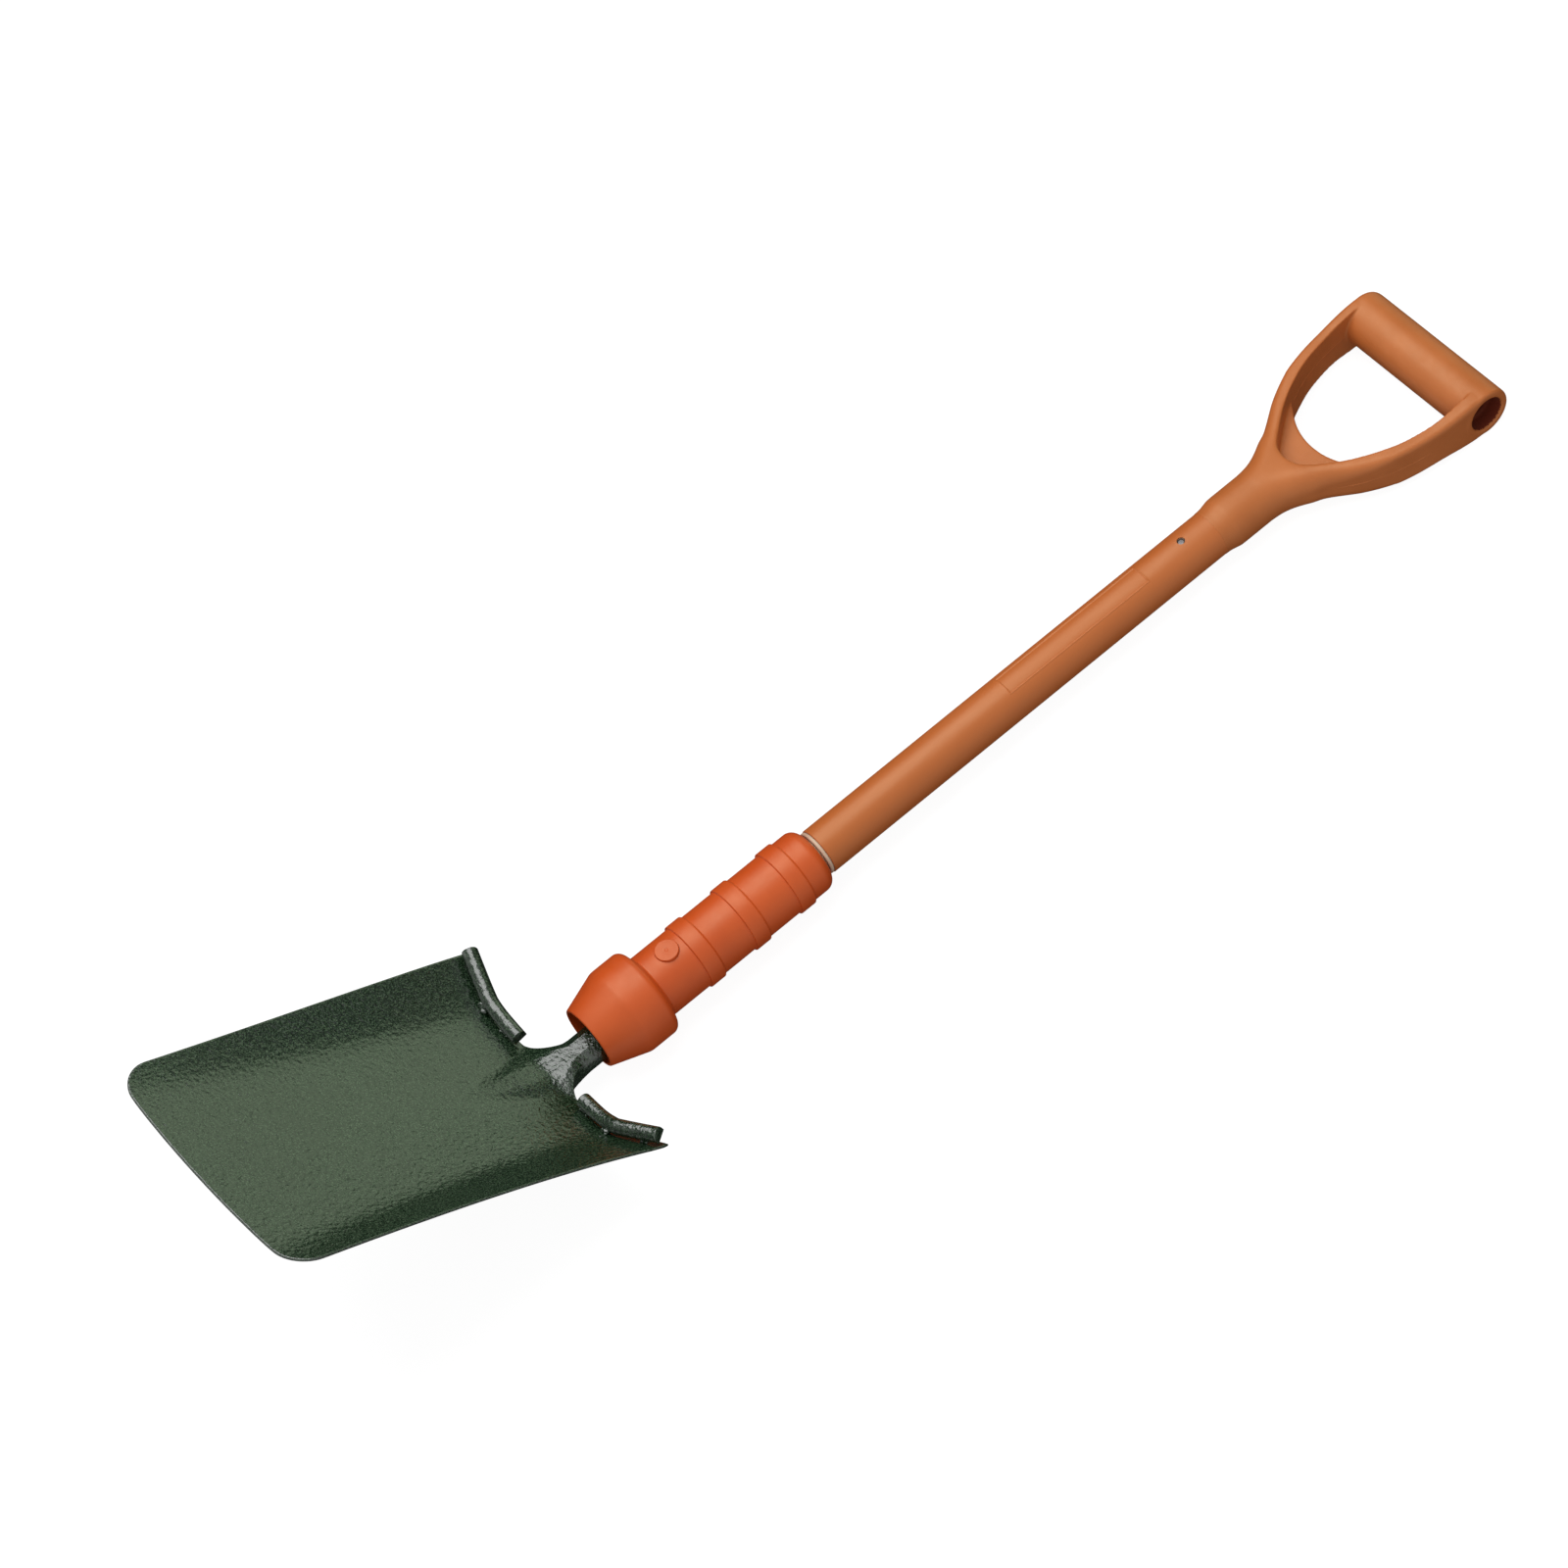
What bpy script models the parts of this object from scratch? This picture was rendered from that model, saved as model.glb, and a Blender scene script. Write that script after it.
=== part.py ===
"""Insulated treaded digging shovel: steel head, insulating boot, sheathed shaft and D handle.

Everything is modelled in the shaft's own frame, in metres: +X runs up the shaft to the handle,
+Z points out of the blade's face, +Y is across, and the origin is where the sheath ends above
the boot. An empty then lays the shovel face up on the ground, on its boot's flange and its grip.
"""

import math

import bmesh
import bpy
import numpy as np
from mathutils import Vector

# Driving dimensions of the shaft, in metres.
SHEATH_R = 0.0180
SHEATH_BORE_R = 0.0170
SHEATH_START_X = 0.0033
SLEEVE_R = 0.0167
SLEEVE_RING_R = 0.0175
SLEEVE_RING_LENGTH = 0.0030
SLEEVE_CHAMFER = 0.0009
SLEEVE_BORE_R = 0.0140
CORE_R = 0.0137
CORE_BORE_R = 0.0098
CORE_START_X = -0.1400
SHAFT_END_X = 0.4075
FOAM_R = 0.0095
FIT_GAP = 0.0003

# Steel socket and neck.
SOCKET_R = 0.0170
SOCKET_BORE_R = 0.0140
SOCKET_MOUTH_X = -0.0040
SOCKET_FLOOR_X = -0.1405
NECK_HALF_WIDTH = 0.0125
NECK_HALF_DEPTH = 0.0105
NECK_DROP = 0.0100
NECK_SQUARENESS = 2.8

# Blade. Sigma runs along the head's bent middle line, forward from the tread line at zero.
BLADE_THICKNESS = 0.0024
BLADE_LIFT = math.radians(35.0)
BLADE_FRONT = 0.3010
BLADE_FRONT_BOW = 0.0020
BLADE_CORNER_R = 0.0230
BLADE_REAR_HALF_WIDTH = 0.1112
BLADE_WAIST = (-0.0527, 0.1067)
HEEL_X = -0.2440
HEEL_Z = -0.0030
BEND_TANGENT = 0.0150
WING_START = 0.0660
WING_START_GAIN = 0.0600
WING_SOFTNESS = 0.0120
WING_SLOPES = (0.392, 1.50, -7.10)
DISH_DEPTH = 0.0030
SHOULDER_START = 0.0
SHOULDER_BACK = -0.0020
SHOULDER_TIP_BACK = -0.0125
STRAIGHT_FROM_V = 0.0180
STRAIGHT_BY_V = 0.0400
SHOULDER_FILLET_R = 0.0230
SHOULDER_FILLET_V = 0.0360
RIDGE_HEIGHT = 0.0070
RIDGE_LENGTH = 0.0850
BACK_RIB_LENGTH = 0.0450
RIDGE_HALF_WIDTH = 0.0210
EDGE_SQUARENESS = 60.0

# Foot treads, of D-section bar with the flat side down on the blade.
TREAD_HALF_WIDTH = 0.0055
TREAD_HEIGHT = 0.0095
TREAD_SIDE_HEIGHT = 0.0035
TREAD_INNER_V = 0.0335
TREAD_OUTER_V = 0.1075
TREAD_BEND_V = 0.0700
TREAD_STATIONS = 15
TREAD_INNER_SIGMA = 0.0010
TREAD_OUTER_SIGMA = -0.0065
TREAD_SEAT_GAP = 0.0008
BEAD_GAP = 0.0005
WELD_RADII = (0.0026, 0.0045, 0.0021)
TACK_RADII = (0.0016, 0.0022, 0.0013)
WELD_V = 0.0680
INNER_TACK_V = 0.0400
OUTER_TACK_V = 0.1010

# Insulating boot, measured down from the shaft's sheath.
BOOT_TOP_X = -0.0008
BOOT_R = 0.0248
BOOT_RIB_R = 0.0263
BOOT_RIB_CENTRES = (-0.0271, -0.0683, -0.1097)
BOOT_RIB_HALF = 0.0067
BOOT_RIB_CHAMFER = 0.0012
BOOT_BORE_R = 0.0173
BOOT_LIP_R = 0.0140
BOOT_LIP_X = -0.0037
BOOT_DOME_R = 0.0085
FLANGE_R = 0.0345
FLANGE_TOP_X = -0.1495
FLANGE_SLANT = 0.0022
FLANGE_ROUND = 0.0060
FLANGE_BOTTOM_X = -0.1775
SKIRT_RIM_X = -0.2070
SKIRT_RIM_R = 0.0245
SKIRT_RIM_BORE_R = 0.0225
SKIRT_WALL = 0.0035
SKIRT_FLOOR_X = -0.1560

# Rivets, their plug and the handle's pin, all along the blade's normal.
RIVET_XS = {"lower": -0.1292, "upper": -0.0890}
RIVET_R = 0.0026
RIVET_HOLE_R = 0.0029
RIVET_HEAD_R = 0.0050
RIVET_HEAD_HEIGHT = 0.0015
RIVET_HEAD_SEAT = 0.0173
RIVET_POCKET_R = 0.0056
RIVET_POCKET_TOP = 0.0192
PLUG_R = 0.0088
PLUG_SEAT_Z = 0.0196
PLUG_TOP_Z = 0.0262
PIN_X = 0.3475
PIN_R = 0.0028
PIN_HOLE_R = 0.0031
PIN_HALF_LENGTH = 0.0166

# D handle.
COLLAR_START_X = 0.3716
COLLAR_LIP_R = 0.0189
COLLAR_STEP_X = 0.3833
COLLAR_R = 0.0201
COLLAR_END_X = 0.4150
COLLAR_BORE_R = 0.0183
COLLAR_FLOOR_X = 0.4080
SPIGOT_R = 0.0095
SPIGOT_START_X = 0.3330
THROAT_END_X = 0.4640
ARM_HALF_DEPTH = 0.0170
GRIP_X = 0.5780
GRIP_R = 0.0201
GRIP_CLOSED_END = 0.0676
GRIP_OPEN_END = -0.0692
GRIP_ROUND = 0.0050
GRIP_BORE_R = 0.0138
GRIP_BORE_STEP_R = 0.0128
GRIP_BORE_STEP = 0.0140
GRIP_BORE_DEPTH = 0.1260
WEB_HALF_THICKNESS = 0.0030
WEB_EDGE_X = 0.4728
WEB_EDGE_R = 0.0580
HANDLE_BEVEL = 0.0030
ARM_OUTER = (
    (0.4480, 0.0000),
    (0.4510, 0.0295),
    (0.4590, 0.0358),
    (0.4660, 0.0408),
    (0.4735, 0.0460),
    (0.4820, 0.0505),
    (0.4980, 0.0574),
    (0.5140, 0.0620),
    (0.5300, 0.0648),
    (0.5480, 0.0664),
    (0.5640, 0.0670),
    (0.5780, 0.0670),
)
ARM_INNER = (
    (0.4475, 0.0000),
    (0.4492, 0.0080),
    (0.4530, 0.0146),
    (0.4640, 0.0243),
    (0.4760, 0.0338),
    (0.4860, 0.0402),
    (0.4970, 0.0458),
    (0.5120, 0.0519),
    (0.5300, 0.0560),
    (0.5480, 0.0580),
    (0.5700, 0.0582),
)

# Facets round a turned piece, and the colours (red, green, blue), roughness and metallic values.
SIDES = 32
ORANGE_BOOT = ((0.60, 0.10, 0.02), 0.45, 0.0)
ORANGE_SHAFT = ((0.50, 0.14, 0.03), 0.40, 0.0)
GREEN_PAINT = ((0.015, 0.05, 0.025), 0.30, 0.0)
PALE_LAYER = ((0.65, 0.50, 0.38), 0.50, 0.0)
GLASS_FIBRE = ((0.70, 0.68, 0.50), 0.55, 0.0)
FOAM = ((0.75, 0.70, 0.45), 0.90, 0.0)
STEEL = ((0.45, 0.45, 0.46), 0.35, 1.0)


# ---------------------------------------------------------------- scene and objects


def clear_scene():
    for existing in list(bpy.data.objects):
        bpy.data.objects.remove(existing, do_unlink=True)


def new_collection(name):
    collection = bpy.data.collections.new(name)
    bpy.context.scene.collection.children.link(collection)
    return collection


def material(name, look):
    colour, roughness, metallic = look
    found = bpy.data.materials.get(name)
    if found is None:
        found = bpy.data.materials.new(name)
        found.use_nodes = True
        shader = found.node_tree.nodes["Principled BSDF"]
        shader.inputs["Base Color"].default_value = (*colour, 1.0)
        shader.inputs["Roughness"].default_value = roughness
        shader.inputs["Metallic"].default_value = metallic
    return found


def mesh_object(name, points, faces, look=None):
    """A new object from points and faces; with a look it is a part, without one a cutter."""
    mesh = bpy.data.meshes.new(name)
    mesh.from_pydata([tuple(p) for p in points], [], faces)
    mesh.update()
    return link_object(name, mesh, look)


def link_object(name, mesh, look=None):
    created = bpy.data.objects.new(name, mesh)
    if look is None:
        CUTTERS.objects.link(created)
        created.hide_render = True
        created.display_type = "WIRE"
    else:
        PARTS.objects.link(created)
        mesh.materials.append(material(name + "_material", look))
        mesh.shade_smooth()
        mesh.set_sharp_from_angle(angle=math.radians(35))
    created.parent = FRAME
    return created


def boolean(target, tool, operation):
    step = target.modifiers.new(operation.lower() + "_" + tool.name, "BOOLEAN")
    step.operation = operation
    step.object = tool
    step.solver = "EXACT"


def cut(target, *tools):
    for tool in tools:
        boolean(target, tool, "DIFFERENCE")


def fuse(target, *tools):
    for tool in tools:
        boolean(target, tool, "UNION")


def turned(name, profile, look=None, closed=True, sides=SIDES):
    """A piece turned about the shaft: profile is (radius, x), outer side from handle to blade."""
    mesh = bpy.data.meshes.new(name)
    count = len(profile)
    edges = [(i, i + 1) for i in range(count - 1)]
    if closed:
        edges.append((count - 1, 0))
    mesh.from_pydata([(radius, 0.0, along) for radius, along in profile], edges, [])
    created = link_object(name, mesh, look)
    created.rotation_euler = (0.0, math.pi / 2, 0.0)
    spin = created.modifiers.new("turn", "SCREW")
    spin.axis = "Z"
    spin.steps = sides
    spin.render_steps = sides
    spin.use_merge_vertices = True
    spin.merge_threshold = 0.00001
    return created


def tube(name, outer_r, inner_r, start_x, end_x, look=None):
    """A plain tube along the shaft."""
    profile = [(outer_r, end_x), (outer_r, start_x), (inner_r, start_x), (inner_r, end_x)]
    return turned(name, profile, look)


def rod(name, radius, start_x, end_x, look=None):
    """A plain solid rod along the shaft."""
    profile = [(0.0, end_x), (radius, end_x), (radius, start_x), (0.0, start_x)]
    return turned(name, profile, look, closed=False)


def stud(name, radius, x, low_z, high_z, look=None, sides=SIDES):
    """A straight round pin along Z at the given place on the shaft."""
    mesh = bpy.data.meshes.new(name)
    build = bmesh.new()
    bmesh.ops.create_cone(
        build,
        cap_ends=True,
        segments=sides,
        radius1=radius,
        radius2=radius,
        depth=high_z - low_z,
    )
    build.to_mesh(mesh)
    build.free()
    created = link_object(name, mesh, look)
    created.location = (x, 0.0, (low_z + high_z) / 2)
    return created


def outline_solid(name, points, low_z, high_z, look=None):
    """A flat outline in the handle's plane, made solid between two heights."""
    curve = bpy.data.curves.new(name + "_outline", "CURVE")
    curve.dimensions = "2D"
    curve.fill_mode = "BOTH"
    curve.extrude = (high_z - low_z) / 2
    spline = curve.splines.new("POLY")
    spline.points.add(len(points) - 1)
    for point, (x, y) in zip(spline.points, points):
        point.co = (x, y, 0.0, 1.0)
    spline.use_cyclic_u = True
    flat = bpy.data.objects.new(name + "_outline", curve)
    CUTTERS.objects.link(flat)
    bpy.context.view_layer.update()
    graph = bpy.context.evaluated_depsgraph_get()
    mesh = bpy.data.meshes.new_from_object(flat.evaluated_get(graph))
    bpy.data.objects.remove(flat, do_unlink=True)
    weld = bmesh.new()
    weld.from_mesh(mesh)
    bmesh.ops.remove_doubles(weld, verts=weld.verts, dist=0.00001)
    bmesh.ops.translate(weld, verts=weld.verts, vec=(0.0, 0.0, (low_z + high_z) / 2))
    bmesh.ops.recalc_face_normals(weld, faces=weld.faces)
    weld.to_mesh(mesh)
    weld.free()
    mesh.name = name
    return link_object(name, mesh, look)


def arc(centre_x, centre_y, radius, start, end, steps):
    """Points along an arc, its angles in degrees."""
    angles = [math.radians(start + (end - start) * i / steps) for i in range(steps + 1)]
    return [(centre_x + radius * math.cos(a), centre_y + radius * math.sin(a)) for a in angles]


def smoothstep(value, low, high):
    share = min(1.0, max(0.0, (value - low) / (high - low)))
    return share * share * (3.0 - 2.0 * share)


# ---------------------------------------------------------------- the steel head's surface

BEND_R = BEND_TANGENT / math.tan(BLADE_LIFT / 2)
BEND_LENGTH = BEND_R * BLADE_LIFT
NECK_MEETS = (HEEL_Z + NECK_DROP) / math.sin(BLADE_LIFT)
BEND_END = BEND_TANGENT - NECK_MEETS
BEND_START = BEND_END - BEND_LENGTH
BEND_START_X = HEEL_X + NECK_MEETS * math.cos(BLADE_LIFT) + BEND_TANGENT


def sigma_at(x):
    """Where along the head's middle line the straight neck passes a place on the shaft."""
    return BEND_START - (x - BEND_START_X)


def middle_line(sigma):
    """The head's middle line: x, z and the surface's tilt, along the neck, bend and blade."""
    if sigma >= BEND_END:
        x = HEEL_X - sigma * math.cos(BLADE_LIFT)
        z = HEEL_Z + sigma * math.sin(BLADE_LIFT)
        return x, z, BLADE_LIFT
    if sigma >= BEND_START:
        turn = (sigma - BEND_START) / BEND_R
        x = BEND_START_X - BEND_R * math.sin(turn)
        z = -NECK_DROP + BEND_R * (1.0 - math.cos(turn))
        return x, z, turn
    x = BEND_START_X + (BEND_START - sigma)
    z = -NECK_DROP * smoothstep(-x, 0.1450, 0.1950)
    return x, z, 0.0


def superellipse(share, power):
    return max(0.0, 1.0 - abs(share) ** power) ** (1.0 / power)


def neck_widening(x):
    """Zero in the neck and one in the socket."""
    return 1.0 - smoothstep(-x, 0.1450, 0.1850)


def neck_half_width(x):
    return NECK_HALF_WIDTH + (SOCKET_R - NECK_HALF_WIDTH) * neck_widening(x)


def neck_half_depth(x):
    return NECK_HALF_DEPTH + (SOCKET_R - NECK_HALF_DEPTH) * neck_widening(x)


def ridge_profile(sigma, x):
    """Height of the ridge above the sheet, of the rib below it, and their half width."""
    half = BLADE_THICKNESS / 2
    if sigma < BEND_START:
        depth = neck_half_depth(x) - half
        return depth, depth, neck_half_width(x)
    neck = NECK_HALF_DEPTH - half
    settle = smoothstep(sigma, BEND_START, 0.0)
    fade = 1.0 - smoothstep(sigma, 0.0, RIDGE_LENGTH)
    back = 1.0 - smoothstep(sigma, -0.0100, BACK_RIB_LENGTH)
    top = (neck + (RIDGE_HEIGHT - neck) * settle) * fade
    width = NECK_HALF_WIDTH + (RIDGE_HALF_WIDTH - NECK_HALF_WIDTH) * settle
    return top, neck * back, width * (0.55 + 0.45 * fade)


def wing_height(sigma, v):
    """How far the dished blade's middle surface stands above its flat plane."""
    ahead = max(sigma, 0.0)
    base, linear, square = WING_SLOPES
    slope = max(0.0, base + linear * ahead + square * ahead * ahead)
    start = WING_START + WING_START_GAIN * ahead
    past = abs(v) - start
    bend = (math.hypot(past, WING_SOFTNESS) + past) / 2
    level = (math.hypot(start, WING_SOFTNESS) - start) / 2
    bow = DISH_DEPTH * (v / BLADE_REAR_HALF_WIDTH) ** 2
    return slope * (bend - level) + bow


def sheet_offsets(sigma, v, half_width):
    """Heights of the head's top and bottom surfaces above its flat plane."""
    x, _, _ = middle_line(sigma)
    share = min(1.0, abs(v) / half_width)
    in_neck = 1.0 - smoothstep(sigma, BEND_START, 0.0)
    round_power = 2.0 + (NECK_SQUARENESS - 2.0) * (1.0 - neck_widening(x))
    power = round_power + (EDGE_SQUARENESS - round_power) * (1.0 - in_neck)
    top, bottom, width = ridge_profile(sigma, x)
    across = min(1.0, abs(v) / width)
    bump = in_neck * superellipse(across, round_power) + (1.0 - in_neck) * (1.0 - across**2) ** 2
    sheet = BLADE_THICKNESS / 2 * superellipse(share, power)
    middle = wing_height(sigma, v)
    return middle + sheet + top * bump, middle - sheet - bottom * bump


def place(sigma, v, height):
    """A point of the head. Only its middle bends into the neck: the shoulders run straight on."""
    x, z, tilt = middle_line(sigma)
    bent = Vector((x + height * math.sin(tilt), v, z + height * math.cos(tilt)))
    straight_x = HEEL_X - sigma * math.cos(BLADE_LIFT) + height * math.sin(BLADE_LIFT)
    straight_z = HEEL_Z + sigma * math.sin(BLADE_LIFT) + height * math.cos(BLADE_LIFT)
    share = smoothstep(abs(v), STRAIGHT_FROM_V, STRAIGHT_BY_V)
    return bent.lerp(Vector((straight_x, v, straight_z)), share)


def blade_half_width(sigma):
    linear, square = BLADE_WAIST
    return BLADE_REAR_HALF_WIDTH + linear * sigma + square * sigma * sigma


def shoulder_line(v):
    """Rear edge of the blade outside the neck's fillet."""
    if abs(v) < TREAD_BEND_V:
        share = (abs(v) - SHOULDER_FILLET_V) / (TREAD_BEND_V - SHOULDER_FILLET_V)
        return SHOULDER_START + (SHOULDER_BACK - SHOULDER_START) * share
    share = (abs(v) - TREAD_BEND_V) / (BLADE_REAR_HALF_WIDTH - TREAD_BEND_V)
    return SHOULDER_BACK + (SHOULDER_TIP_BACK - SHOULDER_BACK) * share


def tread_line(v):
    """Middle of the tread's bar, which bends back with the shoulder's edge."""
    share = max(0.0, (abs(v) - TREAD_BEND_V) / (TREAD_OUTER_V - TREAD_BEND_V))
    return TREAD_INNER_SIGMA + (TREAD_OUTER_SIGMA - TREAD_INNER_SIGMA) * share


def head_rows():
    """Rows across the head, as (middle sigma, half width, sigma at the row's ends)."""
    rows = []
    for x in (SOCKET_MOUTH_X, -0.145, -0.153, -0.161, -0.169, -0.177, -0.186, -0.198, -0.212):
        rows.append((sigma_at(x), neck_half_width(x), sigma_at(x)))
    fillet_start = SHOULDER_START - SHOULDER_FILLET_R
    centre_end = 0.0010
    for i in range(7):
        share = i / 6
        turn = share * math.pi / 2
        end_v = SHOULDER_FILLET_V - SHOULDER_FILLET_R * math.cos(turn)
        end_sigma = fillet_start + SHOULDER_FILLET_R * math.sin(turn)
        rows.append((fillet_start + (centre_end - fillet_start) * share, end_v, end_sigma))
    rear_end = 0.0300
    for i in range(1, 8):
        share = i / 7
        end_v = SHOULDER_FILLET_V + (BLADE_REAR_HALF_WIDTH - SHOULDER_FILLET_V) * share
        middle = centre_end + (rear_end - centre_end) * share
        rows.append((middle, end_v, shoulder_line(end_v)))
    corner_start = BLADE_FRONT - BLADE_FRONT_BOW - BLADE_CORNER_R
    side_rows = 9
    for i in range(1, side_rows + 1):
        share = i / side_rows
        end_sigma = SHOULDER_TIP_BACK + (corner_start - SHOULDER_TIP_BACK) * share
        middle = rear_end + (corner_start + 0.0020 - rear_end) * share
        rows.append((middle, blade_half_width(end_sigma), end_sigma))
    front_width = blade_half_width(corner_start) - BLADE_CORNER_R
    for i in range(1, 6):
        turn = i / 5 * math.pi / 2
        end_sigma = corner_start + BLADE_CORNER_R * math.sin(turn)
        end_v = front_width + BLADE_CORNER_R * math.cos(turn)
        rows.append((end_sigma + BLADE_FRONT_BOW, end_v, end_sigma))
    return rows


def head_mesh(columns):
    """Closed skin of the head: a top and a bottom sheet of points that meet at the edges."""
    points = []
    faces = []
    ring = 2 * columns
    rows = head_rows()
    for middle, half_width, end in rows:
        top = []
        bottom = []
        for j in range(columns + 1):
            share = math.sin(math.pi / 2 * (2 * j / columns - 1))
            v = half_width * share
            sigma = middle + (end - middle) * share * share
            high, low = sheet_offsets(sigma, v, half_width)
            top.append(place(sigma, v, high))
            bottom.append(place(sigma, v, low))
        points.extend(top + bottom[-2:0:-1])
    for i in range(len(rows) - 1):
        for j in range(ring):
            a = i * ring + j
            b = i * ring + (j + 1) % ring
            faces.append((a, a + ring, b + ring, b))
    last = (len(rows) - 1) * ring
    for base, front in ((0, False), (last, True)):
        for j in range(columns):
            corners = [base + j, base + j + 1, base + (ring - j - 1) % ring]
            if j > 0:
                corners.append(base + ring - j)
            faces.append(tuple(reversed(corners)) if front else tuple(corners))
    return points, faces


def make_head():
    points, faces = head_mesh(22)
    head = mesh_object("shovel_head", points, faces, GREEN_PAINT)
    outward = bmesh.new()
    outward.from_mesh(head.data)
    bmesh.ops.remove_doubles(outward, verts=outward.verts, dist=0.000001)
    bmesh.ops.recalc_face_normals(outward, faces=outward.faces)
    outward.to_mesh(head.data)
    outward.free()
    cut(head, rod("socket_bore", SOCKET_BORE_R, SOCKET_FLOOR_X, 0.0200))
    for which, x in RIVET_XS.items():
        cut(head, stud("socket_hole_" + which, RIVET_HOLE_R, x, -0.0300, 0.0300, sides=12))
    return head


# ---------------------------------------------------------------- foot treads and their welds


def on_sheet(v, sigma):
    """A point of the blade's top surface."""
    top, _ = sheet_offsets(sigma, v, BLADE_REAR_HALF_WIDTH * 1.2)
    return place(sigma, v, top)


def seat_on_sheet(side, v, sigma, height):
    """A point raised off the sheet, and the sheet's normal there."""
    step = 0.0005
    point = on_sheet(v, sigma)
    ahead = on_sheet(v, sigma + step) - point
    outward = on_sheet(v + step, sigma) - point
    normal = ahead.cross(outward).normalized()
    if normal.z < 0:
        normal.negate()
    raised = point + normal * height
    return Vector((raised.x, side * raised.y, raised.z)), Vector((normal.x, side * normal.y, normal.z))


def tread_section():
    """The bar's D section, as (across, up) points."""
    points = [(-TREAD_HALF_WIDTH, 0.0), (TREAD_HALF_WIDTH, 0.0)]
    crown = TREAD_HEIGHT - TREAD_SIDE_HEIGHT
    for i in range(9):
        turn = math.pi * i / 8
        across = TREAD_HALF_WIDTH * math.cos(turn)
        points.append((across, TREAD_SIDE_HEIGHT + crown * math.sin(turn)))
    return points


def make_tread(label, side):
    section = tread_section()
    seats = []
    for i in range(TREAD_STATIONS):
        v = TREAD_INNER_V + (TREAD_OUTER_V - TREAD_INNER_V) * i / (TREAD_STATIONS - 1)
        seats.append(seat_on_sheet(side, v, tread_line(v), TREAD_SEAT_GAP))
    points = []
    faces = []
    for i, (seat, normal) in enumerate(seats):
        before = seats[max(0, i - 1)][0]
        after = seats[min(len(seats) - 1, i + 1)][0]
        along = (after - before).normalized()
        across = along.cross(normal).normalized()
        up = across.cross(along).normalized()
        points.extend(seat + across * a + up * b for a, b in section)
    count = len(section)
    for i in range(len(seats) - 1):
        for j in range(count):
            a = i * count + j
            b = i * count + (j + 1) % count
            faces.append((a, a + count, b + count, b))
    faces.append(tuple(range(count)))
    last = (len(seats) - 1) * count
    faces.append(tuple(reversed(range(last, last + count))))
    tread = mesh_object("tread_" + label, points, faces, GREEN_PAINT)
    outward = bmesh.new()
    outward.from_mesh(tread.data)
    bmesh.ops.recalc_face_normals(outward, faces=outward.faces)
    outward.to_mesh(tread.data)
    outward.free()


def make_bead(name, side, v, radii):
    """One rounded bead of weld metal in the corner between a tread's front and the blade."""
    ahead, along, up = radii
    sigma = tread_line(v) + TREAD_HALF_WIDTH + BEAD_GAP + ahead
    centre, normal = seat_on_sheet(side, v, sigma, up + BEAD_GAP)
    forward = Vector((-math.cos(BLADE_LIFT), 0.0, math.sin(BLADE_LIFT)))
    across_bead = normal.cross(forward).normalized()
    forward = across_bead.cross(normal).normalized()
    mesh = bpy.data.meshes.new(name)
    build = bmesh.new()
    made = bmesh.ops.create_uvsphere(build, u_segments=12, v_segments=8, radius=1.0)
    for vertex in made["verts"]:
        local = vertex.co.copy()
        vertex.co = centre + forward * (local.x * ahead) + across_bead * (local.y * along)
        vertex.co += normal * (local.z * up)
    build.normal_update()
    bmesh.ops.recalc_face_normals(build, faces=build.faces)
    build.to_mesh(mesh)
    build.free()
    link_object(name, mesh, GREEN_PAINT)


# ---------------------------------------------------------------- boot


def boot_profile():
    """The boot's outline from the dome, over its ribs, to the skirt's rim and back inside."""
    profile = [(BOOT_LIP_R, BOOT_TOP_X)]
    dome_centre_r = BOOT_R - BOOT_DOME_R
    dome_centre_x = BOOT_TOP_X - BOOT_DOME_R
    for i in range(5):
        turn = math.pi / 2 * (1.0 - i / 4)
        radius = dome_centre_r + BOOT_DOME_R * math.cos(turn)
        profile.append((radius, dome_centre_x + BOOT_DOME_R * math.sin(turn)))
    for centre in BOOT_RIB_CENTRES:
        profile.append((BOOT_R, centre + BOOT_RIB_HALF))
        profile.append((BOOT_RIB_R, centre + BOOT_RIB_HALF - BOOT_RIB_CHAMFER))
        profile.append((BOOT_RIB_R, centre - BOOT_RIB_HALF + BOOT_RIB_CHAMFER))
        profile.append((BOOT_R, centre - BOOT_RIB_HALF))
    profile.append((BOOT_R, FLANGE_TOP_X))
    for i in range(4):
        turn = math.pi / 2 * (1.0 - i / 3)
        radius = FLANGE_R - FLANGE_ROUND + FLANGE_ROUND * math.cos(turn)
        drop = FLANGE_SLANT + FLANGE_ROUND * (1.0 - math.sin(turn))
        profile.append((radius, FLANGE_TOP_X - drop))
    profile.append((FLANGE_R, FLANGE_BOTTOM_X))
    profile.append((SKIRT_RIM_R, SKIRT_RIM_X))
    profile.append((SKIRT_RIM_BORE_R, SKIRT_RIM_X))
    profile.append((FLANGE_R - SKIRT_WALL, FLANGE_BOTTOM_X))
    profile.append((FLANGE_R - SKIRT_WALL, SKIRT_FLOOR_X - 0.0050))
    profile.append((FLANGE_R - SKIRT_WALL - 0.0050, SKIRT_FLOOR_X))
    profile.append((BOOT_BORE_R, SKIRT_FLOOR_X))
    profile.append((BOOT_BORE_R, BOOT_LIP_X))
    profile.append((BOOT_LIP_R, BOOT_LIP_X))
    return profile


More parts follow.
